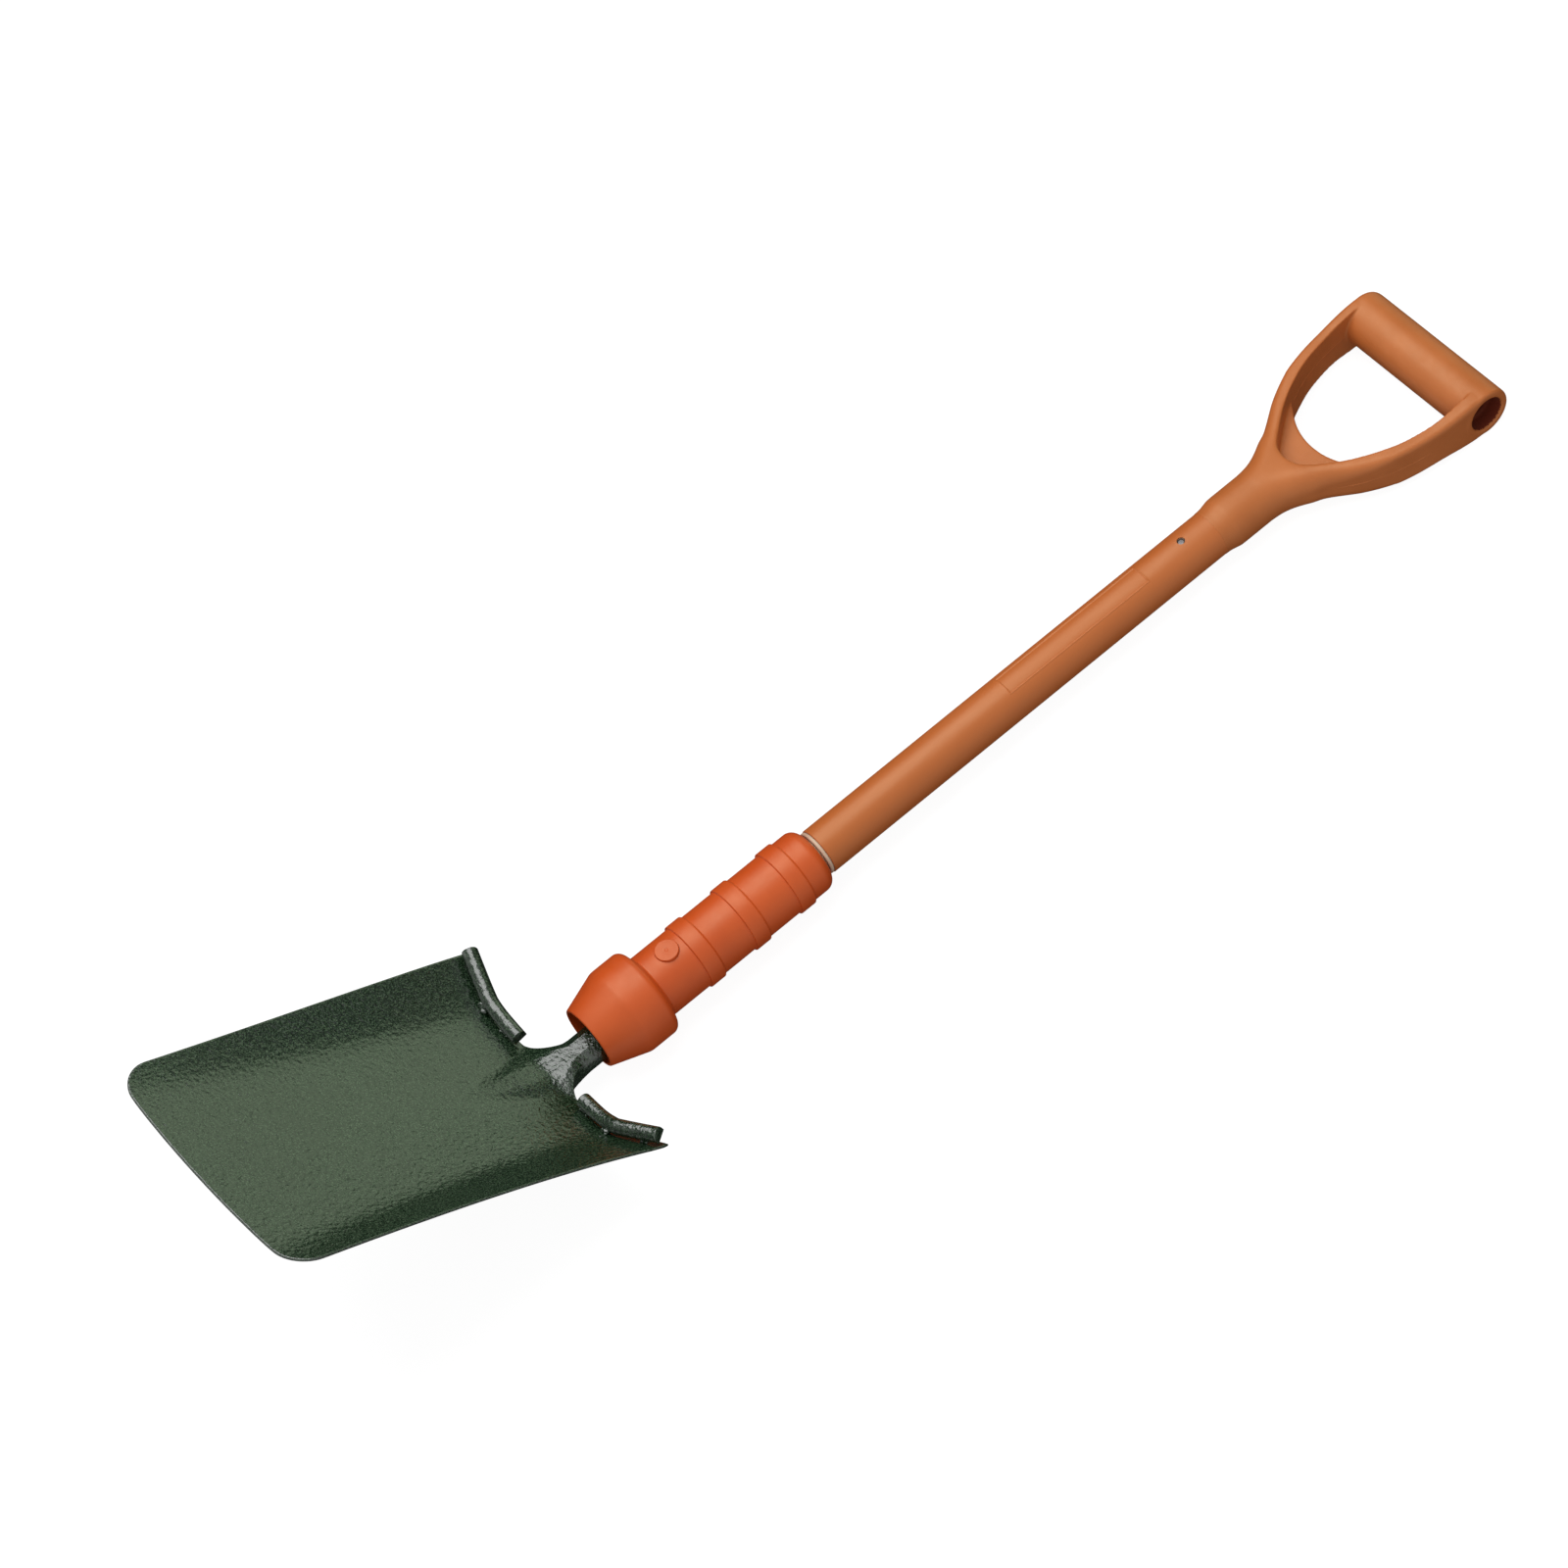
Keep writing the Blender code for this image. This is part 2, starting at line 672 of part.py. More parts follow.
def make_boot():
    boot = turned("insulating_boot", boot_profile(), ORANGE_BOOT)
    for which, x in RIVET_XS.items():
        cut(boot, stud("boot_pocket_back_" + which, RIVET_POCKET_R, x, -RIVET_POCKET_TOP, -0.0100, sides=16))
    cut(boot, stud("boot_pocket_front", RIVET_POCKET_R, RIVET_XS["upper"], 0.0100, RIVET_POCKET_TOP, sides=16))
    cut(boot, stud("boot_plug_seat", PLUG_R + FIT_GAP, RIVET_XS["lower"], 0.0100, 0.0400))


def make_plug():
    plug = stud("boot_plug", PLUG_R, RIVET_XS["lower"], PLUG_SEAT_Z, PLUG_TOP_Z, ORANGE_BOOT)
    soften = plug.modifiers.new("edge", "BEVEL")
    soften.width = 0.0006
    soften.segments = 1
    soften.limit_method = "ANGLE"


# ---------------------------------------------------------------- shaft


def make_shaft():
    pin_hole = stud("pin_hole", PIN_HOLE_R, PIN_X, -0.0300, 0.0300, sides=16)
    sheath = tube("shaft_sheath", SHEATH_R, SHEATH_BORE_R, SHEATH_START_X, SHAFT_END_X, ORANGE_SHAFT)
    cut(sheath, pin_hole)
    ring = SLEEVE_RING_R - SLEEVE_CHAMFER
    sleeve_profile = [
        (SLEEVE_R, SHAFT_END_X),
        (SLEEVE_R, SLEEVE_RING_LENGTH),
        (SLEEVE_RING_R, SLEEVE_RING_LENGTH),
        (SLEEVE_RING_R, SLEEVE_CHAMFER),
        (ring, 0.0),
        (SLEEVE_BORE_R, 0.0),
        (SLEEVE_BORE_R, SHAFT_END_X),
    ]
    sleeve = turned("inner_sleeve", sleeve_profile, PALE_LAYER)
    cut(sleeve, pin_hole)
    core = tube("shaft_core", CORE_R, CORE_BORE_R, CORE_START_X, SHAFT_END_X, GLASS_FIBRE)
    cut(core, pin_hole)
    foam_end = SPIGOT_START_X - FIT_GAP * 2
    foam = rod("foam_core", FOAM_R, CORE_START_X + FIT_GAP, foam_end, FOAM)
    for which, x in RIVET_XS.items():
        hole = stud("core_hole_" + which, RIVET_HOLE_R, x, -0.0300, 0.0300, sides=12)
        cut(core, hole)
        cut(foam, hole)


def make_rivets():
    """Solid rivets with a flat head at each end, outside the socket's wall."""
    seat = RIVET_HEAD_SEAT
    top = seat + RIVET_HEAD_HEIGHT
    for which, x in RIVET_XS.items():
        name = "socket_rivet_" + which
        profile = [
            (0.0, top),
            (RIVET_HEAD_R * 0.7, top),
            (RIVET_HEAD_R, seat),
            (RIVET_R, seat),
            (RIVET_R, -seat),
            (RIVET_HEAD_R, -seat),
            (RIVET_HEAD_R * 0.7, -top),
            (0.0, -top),
        ]
        rivet = turned(name, profile, STEEL, closed=False, sides=16)
        rivet.rotation_euler = (0.0, 0.0, 0.0)
        rivet.location = (x, 0.0, 0.0)


# ---------------------------------------------------------------- D handle


def mirrored(points):
    """A closed outline from its +Y half, which runs along +X."""
    low = [(x, -y) for x, y in reversed(points) if y > 0.0001]
    return list(points) + low


def throat_loft():
    """The flare from the round collar to the flat arms, as rings of a squarer and squarer oval."""
    stations = (
        (COLLAR_END_X - 0.0060, 0.0195, 0.0195, 2.0),
        (COLLAR_END_X + 0.0030, 0.0205, 0.0202, 2.1),
        (0.4300, 0.0222, 0.0195, 2.4),
        (0.4400, 0.0262, 0.0188, 2.9),
        (0.4500, 0.0312, 0.0179, 3.8),
        (THROAT_END_X, 0.0392, 0.0171, 5.0),
    )
    points = []
    faces = []
    for x, half_y, half_z, power in stations:
        for i in range(SIDES):
            turn = 2 * math.pi * i / SIDES
            along, up = math.cos(turn), math.sin(turn)
            y = half_y * math.copysign(abs(along) ** (2 / power), along)
            z = half_z * math.copysign(abs(up) ** (2 / power), up)
            points.append((x, y, z))
    for i in range(len(stations) - 1):
        for j in range(SIDES):
            a = i * SIDES + j
            b = i * SIDES + (j + 1) % SIDES
            faces.append((a, a + SIDES, b + SIDES, b))
    faces.append(tuple(range(SIDES)))
    last = (len(stations) - 1) * SIDES
    faces.append(tuple(reversed(range(last, last + SIDES))))
    return points, faces


def collar():
    profile = [
        (0.0, COLLAR_END_X),
        (COLLAR_R, COLLAR_END_X),
        (COLLAR_R, COLLAR_STEP_X),
        (0.0197, COLLAR_STEP_X - 0.0045),
        (COLLAR_LIP_R, COLLAR_STEP_X - 0.0085),
        (COLLAR_LIP_R, COLLAR_START_X),
        (COLLAR_BORE_R, COLLAR_START_X),
        (COLLAR_BORE_R, COLLAR_FLOOR_X),
        (SPIGOT_R, COLLAR_FLOOR_X),
        (SPIGOT_R, SPIGOT_START_X),
        (0.0, SPIGOT_START_X),
    ]
    piece = turned("handle_collar", profile, closed=False)
    cut(piece, stud("spigot_pin_hole", PIN_HOLE_R, PIN_X, -0.0300, 0.0300, sides=16))
    return piece


def across(name, profile, sides=SIDES):
    """A piece turned about the grip's line: profile is (radius, y), from +Y down to -Y."""
    piece = turned(name, profile, closed=False, sides=sides)
    piece.rotation_euler = (-math.pi / 2, 0.0, 0.0)
    piece.location = (GRIP_X, 0.0, 0.0)
    return piece


def grip_rod():
    closed_end = [(0.0, 0.0)]
    for i in range(4):
        turn = math.pi / 2 * i / 3
        edge = GRIP_ROUND * (1.0 - math.sin(turn))
        closed_end.append((GRIP_R - edge, GRIP_ROUND * (1.0 - math.cos(turn))))
    profile = [(radius, GRIP_CLOSED_END - depth) for radius, depth in closed_end]
    profile += [(radius, GRIP_OPEN_END + depth) for radius, depth in reversed(closed_end)]
    return across("grip", profile)


def grip_bore():
    """The stepped bore in the grip's -Y end."""
    mouth = GRIP_OPEN_END
    profile = [
        (0.0, mouth + GRIP_BORE_DEPTH),
        (GRIP_BORE_STEP_R, mouth + GRIP_BORE_DEPTH),
        (GRIP_BORE_STEP_R, mouth + GRIP_BORE_STEP),
        (GRIP_BORE_R, mouth + GRIP_BORE_STEP),
        (GRIP_BORE_R, mouth - 0.0100),
        (0.0, mouth - 0.0100),
    ]
    return across("grip_bore", profile, 24)


def make_handle():
    points, faces = throat_loft()
    throat = mesh_object("handle_throat", points, faces)
    outward = bmesh.new()
    outward.from_mesh(throat.data)
    bmesh.ops.recalc_face_normals(outward, faces=outward.faces)
    outward.to_mesh(throat.data)
    outward.free()
    outline = mirrored(ARM_OUTER)
    handle = outline_solid("d_handle", outline, -ARM_HALF_DEPTH, ARM_HALF_DEPTH, ORANGE_SHAFT)
    fuse(handle, throat, collar())
    for label, low, high in (("front", WEB_HALF_THICKNESS, 0.0300), ("back", -0.0300, -WEB_HALF_THICKNESS)):
        cut(handle, outline_solid("pocket_" + label, mirrored(ARM_INNER), low, high))
    web_centre = WEB_EDGE_X + WEB_EDGE_R
    web_arc = arc(web_centre, 0.0, WEB_EDGE_R, 180.0, 142.0, 5)
    opening = web_arc + [point for point in ARM_INNER if point[0] > 0.4900]
    cut(handle, outline_solid("hand_opening", mirrored(opening), -0.0300, 0.0300))
    fuse(handle, grip_rod())
    cut(handle, grip_bore())


# ---------------------------------------------------------------- lay the shovel on the ground


def lay_down():
    """Tilt and lift the frame so that the flange and the grip both touch the ground."""
    flange_x = FLANGE_TOP_X - FLANGE_SLANT - FLANGE_ROUND
    span = GRIP_X - flange_x
    reach = math.hypot(span, FLANGE_R)
    tilt = math.atan2(FLANGE_R, span) - math.asin(GRIP_R / reach)
    FRAME.rotation_euler = (0.0, tilt, 0.0)
    bpy.context.view_layer.update()
    graph = bpy.context.evaluated_depsgraph_get()
    low = np.full(3, np.inf)
    high = np.full(3, -np.inf)
    for piece in PARTS.objects:
        if piece.type != "MESH":
            continue
        seen = piece.evaluated_get(graph)
        corners = np.array([seen.matrix_world @ v.co for v in seen.data.vertices])
        low = np.minimum(low, corners.min(axis=0))
        high = np.maximum(high, corners.max(axis=0))
    middle = (low + high) / 2
    FRAME.location = (-middle[0], -middle[1], -low[2])


clear_scene()
PARTS = new_collection("insulated_shovel")
CUTTERS = new_collection("cutters")
FRAME = bpy.data.objects.new("shovel_frame", None)
PARTS.objects.link(FRAME)

make_head()
for tread_label, tread_side in (("left", 1.0), ("right", -1.0)):
    make_tread(tread_label, tread_side)
    make_bead("tread_weld_" + tread_label, tread_side, WELD_V, WELD_RADII)
    make_bead("tread_tack_inner_" + tread_label, tread_side, INNER_TACK_V, TACK_RADII)
    make_bead("tread_tack_outer_" + tread_label, tread_side, OUTER_TACK_V, TACK_RADII)
make_boot()
make_plug()
make_rivets()
make_shaft()
stud("handle_pin", PIN_R, PIN_X, -PIN_HALF_LENGTH, PIN_HALF_LENGTH, STEEL, sides=16)
make_handle()
lay_down()
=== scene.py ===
"""The looks of the insulated treaded digging shovel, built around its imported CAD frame."""

import math

import bmesh
import bpy
from mathutils import Matrix, Vector, noise


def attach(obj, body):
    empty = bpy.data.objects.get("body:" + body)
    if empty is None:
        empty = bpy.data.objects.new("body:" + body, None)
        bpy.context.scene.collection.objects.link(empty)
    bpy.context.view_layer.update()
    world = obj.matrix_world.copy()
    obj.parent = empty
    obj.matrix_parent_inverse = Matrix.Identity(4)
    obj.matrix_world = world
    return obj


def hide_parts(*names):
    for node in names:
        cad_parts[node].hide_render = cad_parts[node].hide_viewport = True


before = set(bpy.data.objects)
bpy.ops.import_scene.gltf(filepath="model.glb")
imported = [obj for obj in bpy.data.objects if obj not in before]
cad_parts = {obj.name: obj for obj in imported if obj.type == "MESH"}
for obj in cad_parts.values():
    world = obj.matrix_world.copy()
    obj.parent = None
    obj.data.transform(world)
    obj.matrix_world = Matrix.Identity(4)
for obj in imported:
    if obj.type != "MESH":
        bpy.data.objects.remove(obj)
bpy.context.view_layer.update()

# Where the shaft's own frame lies in the row's frame: +X up the shaft, +Z out of the blade's face.
SHAFT_TILT = 0.019565
SHAFT_ORIGIN = (-0.055063, 0.0, 0.031408)
LAID = Matrix.Translation(SHAFT_ORIGIN) @ Matrix.Rotation(SHAFT_TILT, 4, "Y")

# ---- dimensions, as in the CAD but for the head's ridge, the treads' lines and the label

SHEATH_R = 0.0180
SHEATH_BORE_R = 0.0170
SHEATH_START_X = 0.0033
SHAFT_END_X = 0.4075
SLEEVE_R = 0.0167
SLEEVE_RING_R = 0.0175
SLEEVE_BORE_R = 0.0140

SOCKET_R = 0.0170
SOCKET_BORE_R = 0.0140
SOCKET_MOUTH_X = -0.0040
SOCKET_FLOOR_X = -0.1405
NECK_HALF_WIDTH = 0.0132
NECK_HALF_DEPTH = 0.0105
NECK_DROP = 0.0100
NECK_TAPER = (0.1450, 0.1850)
NECK_FALL = (0.1450, 0.1950)
RIVET_HOLE_R = 0.0029

BLADE_THICKNESS = 0.0024
BLADE_LIFT = math.radians(35.0)
BLADE_FRONT = 0.3010
BLADE_FRONT_BOW = 0.0020
BLADE_CORNER_R = 0.0230
BLADE_REAR_HALF_WIDTH = 0.1112
BLADE_WAIST = (-0.0527, 0.1067)
HEEL_X = -0.2440
HEEL_Z = -0.0030
BEND_TANGENT = 0.0150
WING_START = 0.0660
WING_START_GAIN = 0.0600
WING_SOFTNESS = 0.0120
WING_SLOPES = (0.392, 1.50, -7.10)
DISH_DEPTH = 0.0030
SHOULDER_START = 0.0
SHOULDER_BACK = -0.0020
SHOULDER_TIP_BACK = -0.0125
LEFT_TIP_AHEAD = 0.0030
LEFT_TIP_FROM_V = 0.0600
LEFT_TIP_LENGTH = 0.1200
STRAIGHT_FROM_V = 0.0180
STRAIGHT_BY_V = 0.0400
SHOULDER_FILLET_R = 0.0230
SHOULDER_FILLET_V = 0.0360
NECK_INTO_BLADE = (-0.0200, 0.0060)
RIDGE_HEIGHT = 0.0042
RIDGE_FADE_START = 0.0120
RIDGE_LENGTH = 0.0720
RIDGE_CLIMB = math.tan(math.radians(8.0))
RIDGE_BLEND = 0.0030
RIDGE_FLAT_SHARE = 0.22
RIDGE_HALF_WIDTH = 0.0300
RIDGE_END_HALF_WIDTH = 0.0060
CENTRE_DIP = 0.0015
CENTRE_DIP_HALF_WIDTH = 0.0620
CENTRE_DIP_RISE = (-0.0060, 0.0480)
CENTRE_DIP_FALL = (0.0700, 0.2000)
BACK_RIB_FADE = (-0.0100, 0.0450)
RIM_BULGE = 0.0009

TREAD_HALF_WIDTH = 0.0055
TREAD_HEIGHT = 0.0095
TREAD_SIDE_HEIGHT = 0.0036
TREAD_BEND_V = 0.0700
TREAD_SEAT_GAP = 0.0003
TREAD_LEAN = math.radians(13.0)
# Each tread's front edge at its inner end, bend and outer end: v, sigma, height off the sheet.
TREAD_FRONTS = {
    "left": ((0.0325, 0.0049, 0.0), (0.0716, 0.0040, 0.0), (0.1099, -0.0014, 0.0)),
    "right": ((0.0395, 0.0034, 0.0), (0.0785, 0.0044, 0.0), (0.1104, -0.0050, 0.0012)),
}

BOOT_TOP_X = -0.0008
BOOT_R = 0.0248
BOOT_RIB_R = 0.0263
BOOT_RIB_CENTRES = (-0.0271, -0.0683, -0.1097)
BOOT_RIB_HALF = 0.0067
BOOT_BORE_R = 0.0173
BOOT_LIP_R = 0.0140
BOOT_LIP_X = -0.0037
BOOT_DOME_R = 0.0085
FLANGE_R = 0.0345
FLANGE_TOP_X = -0.1495
FLANGE_SLANT = 0.0022
FLANGE_ROUND = 0.0060
FLANGE_BOTTOM_X = -0.1775
SKIRT_RIM_X = -0.2070
SKIRT_RIM_R = 0.0245
SKIRT_RIM_BORE_R = 0.0225
SKIRT_WALL = 0.0035
SKIRT_FLOOR_X = -0.1560

RIVET_XS = (-0.1292, -0.0890)
PLUG_X = -0.1292
PLUG_R = 0.0088
PLUG_SEAT_Z = 0.0196
PLUG_TOP_Z = 0.0260
PIN_X = 0.3475
PIN_HOLE_R = 0.0031
PIN_R = 0.0027
PIN_HALF_LENGTH = 0.0163
CUT_REACH = 0.0300

COLLAR_START_X = 0.3716
COLLAR_R = 0.0203
COLLAR_END_X = 0.4150
COLLAR_BORE_R = 0.01805
COLLAR_FLOOR_X = 0.4080
SPIGOT_R = 0.0095
SPIGOT_START_X = 0.3330
ARM_HALF_DEPTH = 0.0170
ARM_ROUND = 0.0036
GRIP_X = 0.5782
GRIP_R = 0.0203
GRIP_CLOSED_END = 0.0676
GRIP_OPEN_END = -0.0692
GRIP_BORE_R = 0.0141
GRIP_BORE_STEP_R = 0.0128
GRIP_BORE_STEP = 0.0140
GRIP_BORE_DEPTH = 0.1260
WEB_HALF_THICKNESS = 0.0030
WEB_EDGE_X = 0.4728
WEB_EDGE_R = 0.0580
# The arms' outlines, as x along the shaft and distance from its line.
ARM_OUTER = (
    (0.4420, 0.0200), (0.4510, 0.0290), (0.4590, 0.0358), (0.4660, 0.0408),
    (0.4735, 0.0460), (0.4820, 0.0505), (0.4980, 0.0574), (0.5140, 0.0620),
    (0.5300, 0.0648), (0.5480, 0.0664), (0.5640, 0.0670), (0.5780, 0.0670),
)
ARM_INNER = (
    (0.4475, 0.0000), (0.4492, 0.0080), (0.4530, 0.0146), (0.4640, 0.0243),
    (0.4760, 0.0338), (0.4860, 0.0402), (0.4970, 0.0458), (0.5120, 0.0519),
    (0.5300, 0.0560), (0.5480, 0.0580), (0.5640, 0.0583), (0.5782, 0.0584),
)
# The flare from the round collar to the flat arms: x, half width, half depth, roundness.
THROAT = (
    (0.4090, 0.0200, 0.0200, 1.00), (0.4180, 0.0205, 0.0204, 0.99),
    (0.4250, 0.0214, 0.0202, 0.98), (0.4320, 0.0233, 0.0197, 0.95),
    (0.4400, 0.0268, 0.0190, 0.90), (0.4460, 0.0300, 0.0184, 0.85),
    (0.4530, 0.0326, 0.0178, 0.78), (0.4600, 0.0368, 0.0174, 0.70),
    (0.4680, 0.0422, 0.0171, 0.60), (0.4760, 0.0473, 0.0170, 0.50),
    (0.4860, 0.0524, 0.0170, 0.40), (0.4970, 0.0571, 0.0170, 0.30),
    (0.5060, 0.0598, 0.0170, 0.22),
)

LABEL_START_X = 0.1789
LABEL_END_X = 0.3089
LABEL_HALF_ANGLE = math.radians(27.0)
LABEL_SINK = 0.00035
LABEL_BORDER_HEIGHT = 0.00030
LABEL_BORDER_HALF = 0.0006
LABEL_BORDER_OUTSIDE = 0.0004

# Unless it is given a seed, Blender's noise vector starts from the clock.
NOISE_SEED = 1

# ---- helpers


def smoothstep(value, low, high):
    share = min(1.0, max(0.0, (value - low) / (high - low)))
    return share * share * (3.0 - 2.0 * share)


def linked(name, mesh):
    created = bpy.data.objects.new(name, mesh)
    bpy.context.scene.collection.objects.link(created)
    return created


def mesh_from(name, points, faces):
    mesh = bpy.data.meshes.new(name)
    mesh.from_pydata([tuple(p) for p in points], [], faces)
    mesh.update()
    return linked(name, mesh)


def tidy_normals(piece, weld=0.0000005):
    build = bmesh.new()
    build.from_mesh(piece.data)
    bmesh.ops.remove_doubles(build, verts=build.verts, dist=weld)
    build.normal_update()
    bmesh.ops.recalc_face_normals(build, faces=build.faces)
    build.to_mesh(piece.data)
    build.free()


def tube(name, rings):
    """A closed mesh through rings of points, each with the same number of them."""
    points = [point for ring in rings for point in ring]
    count = len(rings[0])
    last = len(points) - count
    faces = []
    for start in range(0, last, count):
        for j in range(count):
            a = start + j
            b = start + (j + 1) % count
            faces.append((a, a + count, b + count, b))
    faces.append(tuple(range(count)))
    faces.append(tuple(reversed(range(last, last + count))))
    piece = mesh_from(name, points, faces)
    tidy_normals(piece)
    return piece


def baked(piece):
    """The piece with its modifiers applied and its own transform taken into its points."""
    bpy.context.view_layer.update()
    graph = bpy.context.evaluated_depsgraph_get()
    mesh = bpy.data.meshes.new_from_object(piece.evaluated_get(graph))
    mesh.transform(piece.matrix_world)
    name = piece.name
    bpy.data.objects.remove(piece, do_unlink=True)
    mesh.name = name
    return linked(name, mesh)


def modified(piece, kind, **settings):
    step = piece.modifiers.new(kind.lower(), kind)
    for key, value in settings.items():
        setattr(step, key, value)
    return piece


def boolean(target, tool, operation="DIFFERENCE"):
    modified(target, "BOOLEAN", operation=operation, object=tool, solver="EXACT")
    target = baked(target)
    bpy.data.objects.remove(tool, do_unlink=True)
    return target


def turned(name, profile, closed=True, sides=96, axis="X", x=0.0):
    """A turned piece: profile is (radius, place along the axis), outer side first, downwards."""
    count = len(profile)
    edges = [(i, i + 1) for i in range(count - 1)]
    if closed:
        edges.append((count - 1, 0))
    mesh = bpy.data.meshes.new(name)
    mesh.from_pydata([(radius, 0.0, along) for radius, along in profile], edges, [])
    piece = linked(name, mesh)
    merging = {"use_merge_vertices": True, "merge_threshold": 0.000005}
    modified(piece, "SCREW", axis="Z", steps=sides, render_steps=sides, **merging)
    turn = {"X": (0.0, math.pi / 2, 0.0), "Y": (-math.pi / 2, 0.0, 0.0), "Z": (0.0, 0.0, 0.0)}
    piece.rotation_euler = turn[axis]
    piece = baked(piece)
    piece.data.transform(Matrix.Translation((x, 0.0, 0.0)))
    return piece


def rounded(profile, radii, steps=4):
    """The profile with its corners rounded: a radius for each point, zero for a sharp one."""
    count = len(profile)
    result = []
    for i, radius in enumerate(radii):
        here = Vector(profile[i])
        if radius <= 0.0:
            result.append(tuple(here))
            continue
        before = Vector(profile[i - 1]) - here
        after = Vector(profile[(i + 1) % count]) - here
        reach = min(radius, before.length * 0.48, after.length * 0.48)
        start = here + before.normalized() * reach
        end = here + after.normalized() * reach
        for k in range(steps + 1):
            t = k / steps
            curve = start.lerp(here, t).lerp(here.lerp(end, t), t)
            result.append(tuple(curve))
    return result


def disc_profile(radius, high, low):
    return [(0.0, high), (radius, high), (radius, low), (0.0, low)]


def stud(name, radius, x, low_z, high_z, sides=48):
    profile = disc_profile(radius, high_z, low_z)
    return turned(name, profile, closed=False, sides=sides, axis="Z", x=x)


def drilled(piece, name, radius, x, sides):
    """The piece with a hole through it, across the shaft at x."""
    return boolean(piece, stud(name, radius, x, -CUT_REACH, CUT_REACH, sides))


def smooth_line(points, per_gap=6):
    """A smooth curve through the points, by Catmull and Rom's rule."""
    result = []
    last = len(points) - 1
    for i in range(last):
        p0 = Vector(points[max(0, i - 1)])
        p1 = Vector(points[i])
        p2 = Vector(points[i + 1])
        p3 = Vector(points[min(last, i + 2)])
        for k in range(per_gap):
            t = k / per_gap
            a = 2 * p1
            b = (p2 - p0) * t
            c = (2 * p0 - 5 * p1 + 4 * p2 - p3) * t * t
            d = (3 * p1 - p0 - 3 * p2 + p3) * t * t * t
            result.append(tuple((a + b + c + d) / 2))
    result.append(tuple(points[last]))
    return result


def mirrored(points):
    low = [(x, -y) for x, y in reversed(points) if y > 0.0001]
    return list(points) + low


def outline_curve(name, points, closed, settings):
    """A curve through points in the handle's plane."""
    curve = bpy.data.curves.new(name, "CURVE")
    for key, value in settings.items():
        setattr(curve, key, value)
    spline = curve.splines.new("POLY")
    spline.points.add(len(points) - 1)
    for point, (x, y) in zip(spline.points, points):
        point.co = (x, y, 0.0, 1.0)
    spline.use_cyclic_u = closed
    return linked(name, curve)


def outline_solid(name, points, low_z, high_z, rounding=0.0):
    """A flat outline in the handle's plane, made solid, with rounded edges if asked."""
    depth = (high_z - low_z) / 2 - rounding
    edge = {"bevel_depth": rounding, "bevel_resolution": 5, "offset": -rounding}
    form = {"dimensions": "2D", "fill_mode": "BOTH", "extrude": depth, **edge}
    piece = outline_curve(name, points, True, form)
    piece.location = (0.0, 0.0, (low_z + high_z) / 2)
    piece = baked(piece)
    tidy_normals(piece, 0.00001)
    return piece


def finished(piece, nodes, look, angle=40):
    """Lays a piece down with the shovel, gives it its look and smooth shading, hangs it on the
    root body and hides the CAD parts it stands for.
    """
    piece.data.transform(LAID)
    piece.data.materials.clear()
    piece.data.materials.append(look)
    piece.data.shade_smooth()
    if angle < 180:
        piece.data.set_sharp_from_angle(angle=math.radians(angle))
    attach(piece, "root")
    if nodes:
        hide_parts(*nodes)
    return piece


# ---- materials


def new_material(name, colour, roughness, metallic=0.0, specular=0.5):
    look = bpy.data.materials.new(name)
    look.use_nodes = True
    tree = look.node_tree
    shader = tree.nodes["Principled BSDF"]
    values = {"Base_Color": (*colour, 1.0), "Roughness": roughness, "Metallic": metallic}
    set_inputs(shader, **values, Specular_IOR_Level=specular)
    return look, tree, shader


def set_inputs(node, **inputs):
    for key, value in inputs.items():
        node.inputs[key.replace("_", " ")].default_value = value


def add_node(tree, kind, **inputs):
    node = tree.nodes.new(kind)
    set_inputs(node, **inputs)
    return node


def noise_node(tree, scale, detail=2.0, roughness=0.5, stretch=None):
    coords = tree.nodes.new("ShaderNodeTexCoord")
    texture = add_node(tree, "ShaderNodeTexNoise", Scale=scale, Detail=detail, Roughness=roughness)
    source = coords.outputs["Object"]
    if stretch is not None:
        mapping = add_node(tree, "ShaderNodeMapping", Scale=stretch)
        tree.links.new(source, mapping.inputs["Vector"])
        source = mapping.outputs["Vector"]
    tree.links.new(source, texture.inputs["Vector"])
    return texture


def ramp_node(tree, source, stops):
    """A colour ramp fed by a node's output; stops are (place, grey level or colour)."""
    ramp = tree.nodes.new("ShaderNodeValToRGB")
    ramp.color_ramp.elements[0].position = stops[0][0]
    ramp.color_ramp.elements[1].position = stops[-1][0]
    for place, _ in stops[1:-1]:
        ramp.color_ramp.elements.new(place)
    for element, (_, value) in zip(ramp.color_ramp.elements, stops):
        colour = value if isinstance(value, tuple) else (value, value, value)
        element.color = (*colour, 1.0)
    tree.links.new(source, ramp.inputs["Fac"])
    return ramp


def bump_chain(tree, shader, steps):
    """Bumps of several sizes, each (height output, strength, distance), one on the other."""
    normal = None
    for height, strength, distance in steps:
        bump = add_node(tree, "ShaderNodeBump", Strength=strength, Distance=distance)
        tree.links.new(height, bump.inputs["Height"])
        if normal is not None:
            tree.links.new(normal, bump.inputs["Normal"])
        normal = bump.outputs["Normal"]
    tree.links.new(normal, shader.inputs["Normal"])


